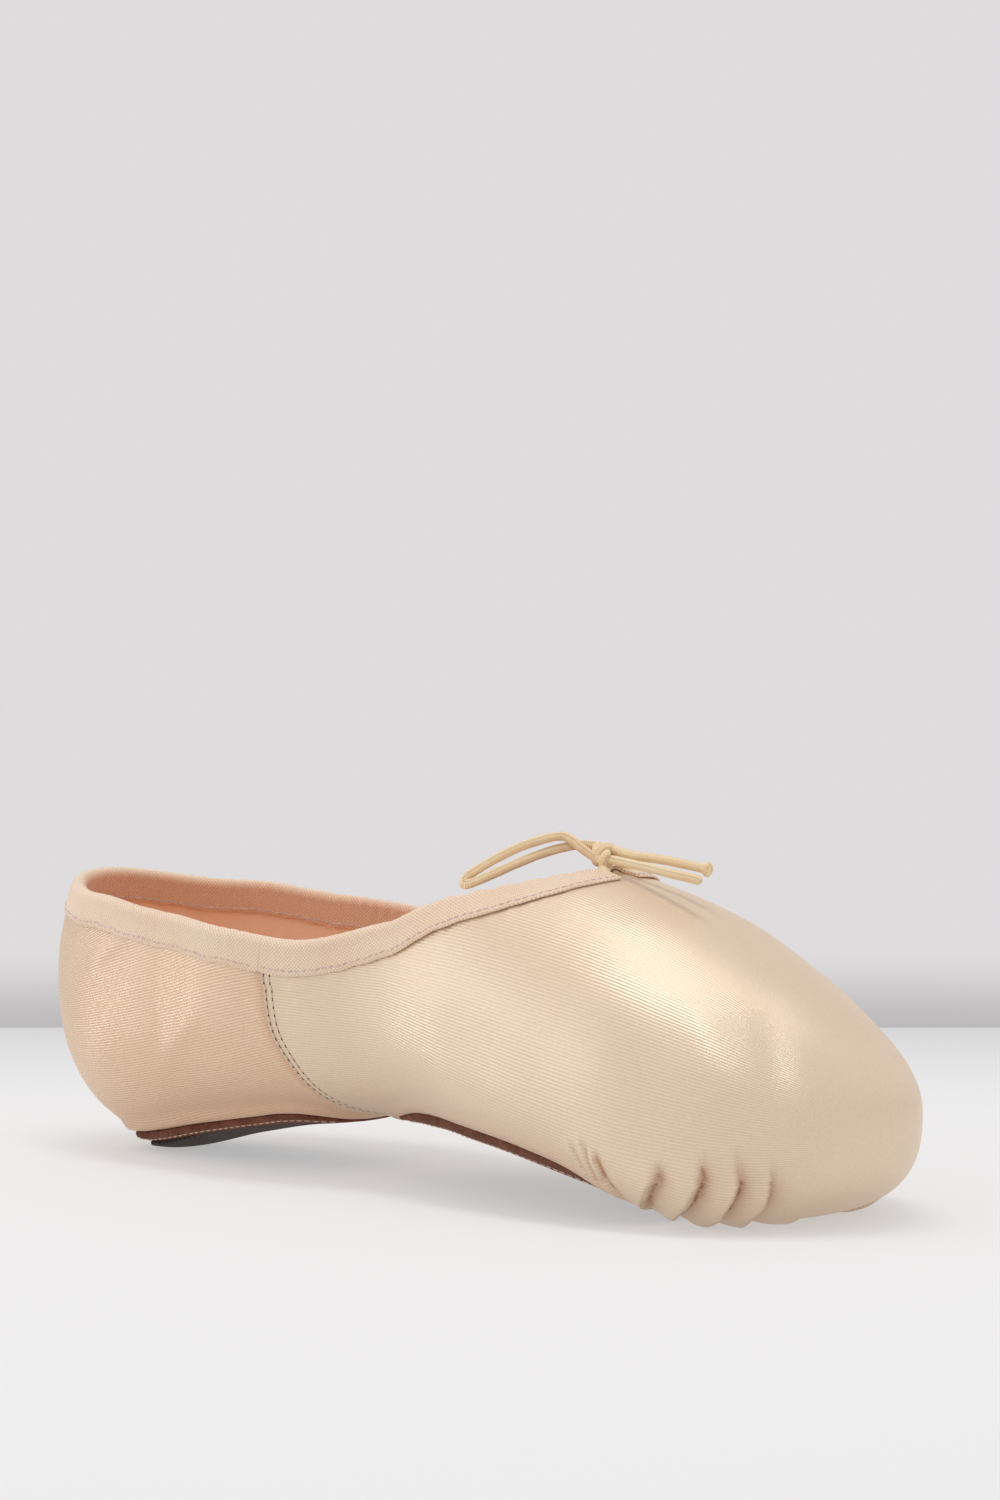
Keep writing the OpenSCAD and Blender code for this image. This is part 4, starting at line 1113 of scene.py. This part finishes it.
def tape(name, kind, nodes, seed, body, gather):
    p, n, b, t, s = edge_frames(kind, 0.5)
    prof = tape_profile()
    m = len(prof)
    # smooth the centre line a little where the legs meet the roll
    base_ = prof.copy()
    for _ in range(2):
        base_[1:-1, :2] = (prof[:-2, :2] + 2 * base_[1:-1, :2] + prof[2:, :2]) / 4
        prof[:, :2] = base_[:, :2]
    R = len(p)
    far = gather(p)
    pl = np.sin(2 * PI * s / 3.1 + 1.6 * np.sin(s / 9 + seed)) * (0.65 + 0.35 * wobble(s, seed, 30))
    low = wobble(s, seed + 3, 11)
    wave = 0.34 * np.sin(2 * PI * s / 6.8 + 1.3 * np.sin(s / 11 + seed)) * step01(8, 26, p[:, 0])
    cen = np.empty((R, m, 3))
    for j in range(m):
        q0, w, leg = prof[j]
        d = hug(p, n, b, w) if w > 0 else np.zeros(R)
        if leg > 0:
            q = q0 + d + 0.09 * far * pl * math.exp(-((w - 1.0) / 2.2) ** 2) + 0.02 * low * w / TAPE_W
            ww = w + 0.13 * low * w / TAPE_W
        elif leg < 0:
            q = q0 + d * 0.9 - 0.12 * far * (0.5 + 0.5 * pl) * w / 3
            ww = w + 0.2 * low * w / TAPE_W
        else:
            q = q0 + 0.10 * far * pl * (q0 - MIDN) / CH
            ww = w - (far * (0.07 * pl + 0.1) + wave) * np.clip(-w / 2.3, 0, 1)
        cen[:, j] = p + n * np.broadcast_to(q, (R,))[:, None] + b * np.broadcast_to(ww, (R,))[:, None]
    # thickness across the centre line, in the plane of each section
    dirv = np.gradient(cen, axis=1)
    nn = unit(np.cross(np.broadcast_to(t[:, None], dirv.shape), dirv))
    o = cen + nn * TAPE_T / 2
    i_ = cen - nn * TAPE_T / 2
    tipa = cen[:, :1] - unit(dirv[:, :1]) * TAPE_T * 0.4
    tipb = cen[:, -1:] + unit(dirv[:, -1:]) * TAPE_T * 0.4
    ring = np.concatenate([o, tipb, i_[:, ::-1], tipa], axis=1)
    M = ring.shape[1]
    ca = np.r_[0, np.cumsum(np.linalg.norm(np.diff(cen[R // 2], axis=0), axis=1))]
    u = np.r_[ca, ca[-1], ca[::-1], ca[0]]
    uv = np.stack(np.broadcast_arrays(s[:, None], u[None]), -1).reshape(-1, 2) * 0.001
    faces = []
    for r in range(R - 1):
        for j in range(M):
            k = (j + 1) % M
            faces.append((r * M + j, r * M + k, (r + 1) * M + k, (r + 1) * M + j))
    for r in (0, R - 1):
        o0 = r * M
        for j in range(m - 1):
            faces.append((o0 + j, o0 + j + 1, o0 + M - 2 - (j + 1), o0 + M - 2 - j))
        faces.append((o0 + m - 1, o0 + m, o0 + m + 1))
        faces.append((o0 + 0, o0 + M - 2, o0 + M - 1))
    ob = mesh_object(name, ring.reshape(-1, 3), faces, uv=uv, sharp=80)
    # painted shade on the tape's faces that turn inwards
    sense = 1.0 if np.einsum("rk,rk->r", nn[:, 0], n).mean() > 0 else -1.0
    inner_face_shade = np.clip(-sense * np.einsum("rmk,rmk->rm", nn, np.broadcast_to(n[:, None], nn.shape)), 0, 1)
    shade_by(ob, o if sense > 0 else i_, inner_face_shade)
    done(ob, TAPE, body, "tape", *nodes)
    # rows for the stitches: outer leg and inner leg
    rows = []
    for w, sign in ((TAPE_W - 1.0, 1), (3.6, -1)):
        d = hug(p, n, b, w)
        off = (0.12 + TAPE_T + d + 0.02 * low * w / TAPE_W) if sign > 0 else (-EDGE_IN - 0.45 - TAPE_T + d * 0.9 - 0.12 * far * (0.5 + 0.5 * pl) * w / 3)
        rows.append((p + n * off[:, None] + b * (w + 0.13 * low * w / TAPE_W)[:, None], n * sign, b))
    return ob, rows


def gather_front(p):
    return 0.55 + 0.75 * step01(-5, 30, p[:, 0])


def gather_back(p):
    return 0.55 + 0.75 * step01(-8, 18, p[:, 1])


tape_r, rows_r = tape("binding_tape_right", "right", ["binding_right"], 31, "arch", gather_front)
tape_l, rows_l = tape("binding_tape_left", "left", ["binding_left"], 47, "arch", gather_front)
tape_h, rows_h = tape("binding_tape_heel", "back", ["binding_heel"], 59, "arch", gather_back)


# ------------------------------------------------------------------ stitches
def stitch_row(points, normal, side, pitch=1.8, length=1.45, r=0.17, sway=0.1, seed=1, inset=0.0, zig=0.0, hole=0.0):
    """Short threads that rise out of the cloth and dive back, a little uneven."""
    p, (n, b), s = resample(points, 0.1, (normal, side))
    n, b = unit(n), unit(b)
    rr = np.random.default_rng(seed)
    parts, pos, k = [], 0.6, 0
    holes = []
    while pos + length < s[-1] - 0.4:
        ln = length * (0.94 + 0.12 * rr.random())
        q = np.linspace(0, 1, 9)
        at = pos + q * ln
        def take(a):
            return np.stack([np.interp(at, s, a[:, i]) for i in range(3)], -1)
        hgt = (r * 0.95 + inset) * np.sin(PI * q) ** 0.6 - r * 0.75
        lat = sway * (rr.random() - 0.5) + zig * (1 if k % 2 else -1) * (q - 0.5) * 2
        path = take(p) + take(n) * hgt[:, None] + take(b) * np.broadcast_to(lat, q.shape)[:, None]
        rad = r * (0.55 + 0.45 * np.sin(PI * q) ** 0.4)
        parts.append(tube(path, rad, 8, up=take(n)[4], uv_scale=1.0))
        step = pitch * (0.96 + 0.08 * rr.random())
        if hole:
            for q0 in (pos - 0.02, pos + ln + 0.02):
                c = np.stack([np.interp([q0 - 0.001, q0, q0 + 0.001], s, p[:, i]) for i in range(3)], -1)
                nn = unit(np.array([np.interp(q0, s, n[:, i]) for i in range(3)]))
                holes.append(lens(c[1] + nn * (inset + 0.02), nn, unit(c[2] - c[0]), hole, 0.05))
        pos += step
        k += 1
    return (parts, holes) if hole else parts


def lens(c, n, t, r, h):
    """A small flat disc, domed on both faces."""
    b = np.cross(n, t)
    ang = np.arange(8) / 8 * 2 * PI
    ring = c + r * (np.cos(ang)[:, None] * t * 1.15 + np.sin(ang)[:, None] * b * 0.8)
    v = np.concatenate([ring, [c + n * h, c - n * h]])
    f = [(i, (i + 1) % 8, 8) for i in range(8)] + [((i + 1) % 8, i, 9) for i in range(8)]
    return v, f, np.zeros((10, 2))


parts = []
for rows, sd in ((rows_r, 3), (rows_l, 4)):
    for i, (pp, nn_, bb) in enumerate(rows):
        parts += stitch_row(pp, nn_, bb, 1.75, 1.5, 0.17, 0.12, sd + i * 10, zig=0.13)
st_front = mesh_object("binding_thread_front", *join(parts)[:2], uv=join(parts)[2])
done(st_front, THREAD_TAPE, "arch", "thread", "binding_stitching_front")
parts = []
for i, (pp, nn_, bb) in enumerate(rows_h):
    parts += stitch_row(pp, nn_, bb, 1.75, 1.5, 0.17, 0.12, 70 + i, zig=0.13)
jn = join(parts)
st_heel = mesh_object("binding_thread_heel", jn[0], jn[1], uv=jn[2])
done(st_heel, THREAD_TAPE, "arch", "thread", "binding_stitching_heel")

# double row along each side seam, on the folded edge of the vamp
parts, holes = [], []
for side in (-1, 1):
    for off, sd in ((0.75, 5), (2.25, 6)):
        v = np.linspace(0.03, 0.80, 260)
        x = seam_x(v) + off
        g0 = shape(x, side * v)
        nd = unit(shape(x, side * v, -0.4) - shape(x, side * v, 0.4))
        lift = 0.22 * np.exp(-((off / 3.2) ** 4)) - 0.2 * np.exp(-((off / 0.45) ** 2))
        pts = g0 + nd * lift
        tt = unit(np.gradient(pts, axis=0))
        st, ho_ = stitch_row(pts, nd, np.cross(tt, nd), 1.8, 1.35, 0.17, 0.06, sd + side + 2, hole=0.26)
        parts += st
        holes += ho_
jn = join(parts)
st_seam = mesh_object("side_seam_thread", jn[0], jn[1], uv=jn[2])
done(st_seam, THREAD_SEAM, "arch", "thread", "side_seam_stitching")
# dark discs of painted shade at each needle hole
jn = join(holes)
st_hole = mesh_object("side_seam_needle_holes", jn[0], jn[1], uv=jn[2])
done(st_hole, HOLE_SHADE, "arch", "thread")

# the drawstring inside the channel
line = np.concatenate([edge_frames("left", 1.0)[0] + edge_frames("left", 1.0)[1] * MIDN - edge_frames("left", 1.0)[2] * 1.12,
                       edge_frames("back", 1.0)[0] + edge_frames("back", 1.0)[1] * MIDN - edge_frames("back", 1.0)[2] * 1.12,
                       edge_frames("right", 1.0)[0] + edge_frames("right", 1.0)[1] * MIDN - edge_frames("right", 1.0)[2] * 1.12])
line, _, s_ = resample(line, 0.8)
v, f, uv = tube(line, R_CORD - 0.06, 14)
ds = mesh_object("drawstring_cord", v, f, uv=uv, sharp=60)
done(ds, CORD, "arch", "cord", "drawstring")


# ------------------------------------------------------------------ soles
def plate(name, half, xs, hi, lo, mat, body, slot, nodes, corner=4.0, tooth=0.0, pitch=1.6, columns=45, edge=0.45, seed=1, rough=0.05, tooth_ends=True):
    """A flexible plate under or over the last: rounded edge, closed, optional toothed outline."""
    xs = np.asarray(xs, float)
    a, b = xs[0], xs[-1]
    hwid = tab(half, xs)
    for end, inside in ((a, xs - a), (b, b - xs)):
        e = np.clip(inside, 0, corner)
        hwid = hwid - (corner - np.sqrt(np.clip(corner**2 - (corner - e) ** 2, 0, None)))
    hwid = np.maximum(hwid, 0.8)
    s = np.r_[0, np.cumsum(np.hypot(np.diff(xs), np.diff(hwid)))]
    rr = np.random.default_rng(seed)
    u = np.linspace(-1, 1, columns)
    top, bot = [], []
    for sgn in (0,):
        pass
    teeth_l = tooth * np.abs(np.sin(PI * s / pitch)) + rough * wobble(s, seed, 6)
    teeth_r = tooth * np.abs(np.sin(PI * s / pitch + 0.7)) + rough * wobble(s, seed + 5, 6)
    Y = np.where(u[None] < 0, u[None] * (hwid + teeth_l)[:, None], u[None] * (hwid + teeth_r)[:, None])
    X = np.broadcast_to(xs[:, None], Y.shape)
    H = np.broadcast_to(np.asarray(hi, float).reshape(-1, 1), Y.shape)
    L = np.broadcast_to(np.asarray(lo, float).reshape(-1, 1), Y.shape)
    # distance in from the outline, to round the edges
    din = np.minimum((1 - np.abs(u))[None] * hwid[:, None], np.minimum(xs - a, b - xs)[:, None] + 0.0)
    rnd = edge - np.sqrt(np.clip(edge**2 - (edge - np.clip(din, 0, edge)) ** 2, 0, None))
    pt_, pb = base(X, Y, H), base(X, Y, L)
    thick = np.linalg.norm(pt_ - pb, axis=-1)
    rnd = np.minimum(rnd, thick * 0.42)
    dz = unit(pt_ - pb)
    pt_ = pt_ - dz * rnd[..., None]
    pb = pb + dz * rnd[..., None]
    pb[..., 2] = np.maximum(pb[..., 2], 0.0)
    pt_[..., 2] = np.maximum(pt_[..., 2], pb[..., 2] + 0.05)
    R, Cc = Y.shape
    n = R * Cc
    idx = np.arange(n).reshape(R, Cc).tolist()
    faces = cells(idx) + [[i + n for i in f] for f in cells(idx, True)]
    ring = idx[0] + [idx[r][-1] for r in range(1, R)] + idx[-1][-2::-1] + [idx[r][0] for r in range(R - 2, 0, -1)]
    ring = ring + [ring[0]]
    faces += strip_faces(ring, [i + n for i in ring])
    ob = mesh_object(name, np.concatenate([pt_.reshape(-1, 3), pb.reshape(-1, 3)]), faces, sharp=55)
    done(ob, mat, body, slot, *nodes)
    return ob, hwid


def cos_steps(a, b, n):
    return a + (b - a) * (0.5 - 0.5 * np.cos(PI * np.linspace(0, 1, n)))


def fine_steps(a, b, pitch, corner):
    n = int((b - a) / pitch)
    mid = np.linspace(a + corner, b - corner, n)
    e = corner * (1 - np.cos(PI / 2 * np.linspace(0, 1, 14)))
    return np.r_[a + e[:-1], mid, (b - e[:-1])[::-1]]


OUT_T, TREAD_T, BOARD_T, CUSHION_T, SOCK_T = 1.5, 1.6, 1.4, 2.4, 0.5
fx = fine_steps(-9.5, 75.5, 0.5, 4)
skive = OUT_T - 0.9 * np.clip((fx - 22) / 38, 0, 1) - 0.8 * np.clip((6 - fx) / 14, 0, 1)
fo, _ = plate("forefoot_outsole_suede", FORE_HALF, fx, -0.12, -0.2 - skive, SUEDE, "forefoot", "suede", ["forefoot_outsole"],
              4, 0.10, 2.2, 61, 0.5, 3, 0.10)
hx = fine_steps(-92, -24.5, 0.4, 4)
hlo = -2.35 + 0.3 * np.clip((hx + 29) / 4.5, 0, 1)
ho, _ = plate("heel_outsole_suede", HEEL_HALF, hx, -0.95, hlo, SUEDE, "arch", "suede", ["heel_outsole"],
              4, 0.12, 1.7, 51, 0.5, 8, 0.10)
txs = fine_steps(-88, -31.5, 0.25, 3)
ht, _ = plate("heel_tread_pad", TREAD_HALF, txs, -2.25, -3.3 + 0.85 * step01(-86, -58, txs), TREAD, "arch", "tread", ["heel_tread"],
              3, 0.45, 1.6, 41, 0.35, 11, 0.08)
ix = fine_steps(-6, 97, 0.9, 5)
up_i = 0.6 + 1.1 * np.clip((ix - 81) / 10, 0, 1)
sock, _ = plate("forefoot_sock_cloth", FORE_IN, ix, lin(ix) + LINING_T + up_i + BOARD_T + SOCK_T, lin(ix) + LINING_T + up_i + BOARD_T,
                LINING, "forefoot", "lining", ["forefoot_sock"], 5, 0, 1, 41, 0.2, 15, 0.12)
jx = fine_steps(-92, -18, 0.9, 5)
up_j = 0.6 + 0.9 * np.clip((-76 - jx) / 10, 0, 1)
cush, _ = plate("heel_cushion_foam", HEEL_IN, jx, EDGE_IN + up_j - 0.1 + CUSHION_T, EDGE_IN + up_j - 0.1, FOAM, "arch", "foam", ["heel_cushion"],
                5, 0, 1, 41, 0.9, 17, 0.05)
hs, _ = plate("heel_sock_cloth", HEEL_IN, jx, EDGE_IN + up_j + CUSHION_T + SOCK_T, EDGE_IN + up_j + CUSHION_T, LINING, "arch", "lining",
              ["heel_sock"], 5, 0, 1, 41, 0.2, 19, 0.12)


def sole_thread(name, half, xs, inset, lo, body, nodes, pitch, corner, seed):
    """Threads round the outsole, a little in from its edge."""
    xs = np.asarray(xs, float)
    h = tab(half, xs)
    for inside in (xs - xs[0], xs[-1] - xs):
        e = np.clip(inside, 0, corner)
        h = h - (corner - np.sqrt(np.clip(corner**2 - (corner - e) ** 2, 0, None)))
    keep = (xs > xs[0] + inset) & (xs < xs[-1] - inset)
    x, h = xs[keep], np.maximum(h[keep] - inset, 0.6)
    parts = []
    for side in (-1, 1):
        p = base(x, side * h, np.asarray(lo, float)[keep] if np.ndim(lo) else lo)
        t = unit(np.gradient(p, axis=0))
        up = base(x, side * h, (np.asarray(lo, float)[keep] if np.ndim(lo) else lo) - 0.5) - p
        n = unit(up - t * np.einsum("ij,ij->i", up, t)[:, None])
        parts += stitch_row(p, n, np.cross(t, n), pitch, pitch * 0.8, 0.19, 0.08, seed + side)
    jn = join(parts)
    ob = mesh_object(name, jn[0], jn[1], uv=jn[2])
    return done(ob, THREAD_SOLE, body, "thread", *nodes)


lo_f = -0.2 - skive
fs = sole_thread("forefoot_outsole_thread", FORE_HALF, fx[fx < 70], 3.2, lo_f[fx < 70], "forefoot", ["forefoot_outsole_stitching"], 2.1, 4, 90)
hs_t = sole_thread("heel_outsole_thread", HEEL_HALF, hx, 1.5, hlo, "arch", ["heel_outsole_stitching"], 1.9, 4, 95)

# carried over: hidden pieces keep their CAD shape
give(NODE["toe_box"], BOX)
give(NODE["insole_board"], BOARD)

# ------------------------------------------------------------------ stage and light
away = Vector((-math.sin(az), math.cos(az), 0))
side_v = Vector((math.cos(az), math.sin(az), 0))
floor_m = Mat("floor")
o = floor_m.obj()
deep_in = floor_m.dot(o, tuple(away))
# painted fall-off of light: the floor is drawn darker towards the back
painted_falloff = floor_m.math("POWER", floor_m.ramp(deep_in, 0.06, 0.2985, 0.0, 1.0), 2.0)
floor_c = floor_m.mix(painted_falloff, (0.42, 0.42, 0.42, 1), (0.33, 0.33, 0.332, 1))
# painted light: the floor glows with its own colour, which lifts the shadows on it
floor_m.set(Base_Color=floor_c, Emission_Color=floor_c, Emission_Strength=1.02, Roughness=0.9,
            Specular_IOR_Level=0.1)
corners = [side_v * -7 - away * 7, side_v * 7 - away * 7, side_v * 7 + away * 0.2985, side_v * -7 + away * 0.2985]
floor_mesh = bpy.data.meshes.new("floor")
floor_mesh.from_pydata([(c.x, c.y, -0.0002) for c in corners], [], [(0, 1, 2, 3)])
floor = bpy.data.objects.new("floor", floor_mesh)
scene.collection.objects.link(floor)
give(floor, floor_m.m)

world = bpy.data.worlds.new("world")
scene.world = world
world.use_nodes = True
wt = world.node_tree
w_dir = wt.nodes.new("ShaderNodeTexCoord")
w_sep = wt.nodes.new("ShaderNodeSeparateXYZ")
wt.links.new(w_dir.outputs["Generated"], w_sep.inputs[0])
w_rng = wt.nodes.new("ShaderNodeMapRange")
w_rng.interpolation_type = "SMOOTHSTEP"
w_rng.inputs["From Min"].default_value = -0.1125
w_rng.inputs["From Max"].default_value = -0.0955
wt.links.new(w_sep.outputs["Z"], w_rng.inputs["Value"])
w_mix = wt.nodes.new("ShaderNodeMix")
w_mix.data_type = "RGBA"
w_mix.inputs["A"].default_value = rgb(188, 186, 187)
w_mix.inputs["B"].default_value = rgb(223, 220, 221)
wt.links.new(w_rng.outputs["Result"], w_mix.inputs["Factor"])
wt.links.new(w_mix.outputs["Result"], wt.nodes["Background"].inputs["Color"])
wt.nodes["Background"].inputs["Strength"].default_value = 1.0


def area(name, loc, target, size, power, color=(1, 1, 1)):
    li = bpy.data.lights.new(name, "AREA")
    li.shape = "RECTANGLE"
    li.size, li.size_y = size
    li.energy = power
    li.color = color
    ob = bpy.data.objects.new(name, li)
    scene.collection.objects.link(ob)
    ob.location = loc
    ob.rotation_mode = "QUATERNION"
    ob.rotation_quaternion = (Vector(target) - Vector(loc)).to_track_quat("-Z", "Y")
    return ob


area("key", (0.02, -0.04, 1.12), (0.02, -0.02, 0.05), (0.74, 0.24), 3.6, (1.0, 0.99, 0.975))
area("low_left", (-0.95, -0.30, 0.12), (-0.06, -0.02, 0.035), (0.14, 0.16), 0.38, (1.0, 0.985, 0.965))
area("fill_left", (-1.15, -1.05, 0.55), (-0.03, 0, 0.03), (1.5, 1.1), 3.4)
scene.view_settings.view_transform = "Standard"
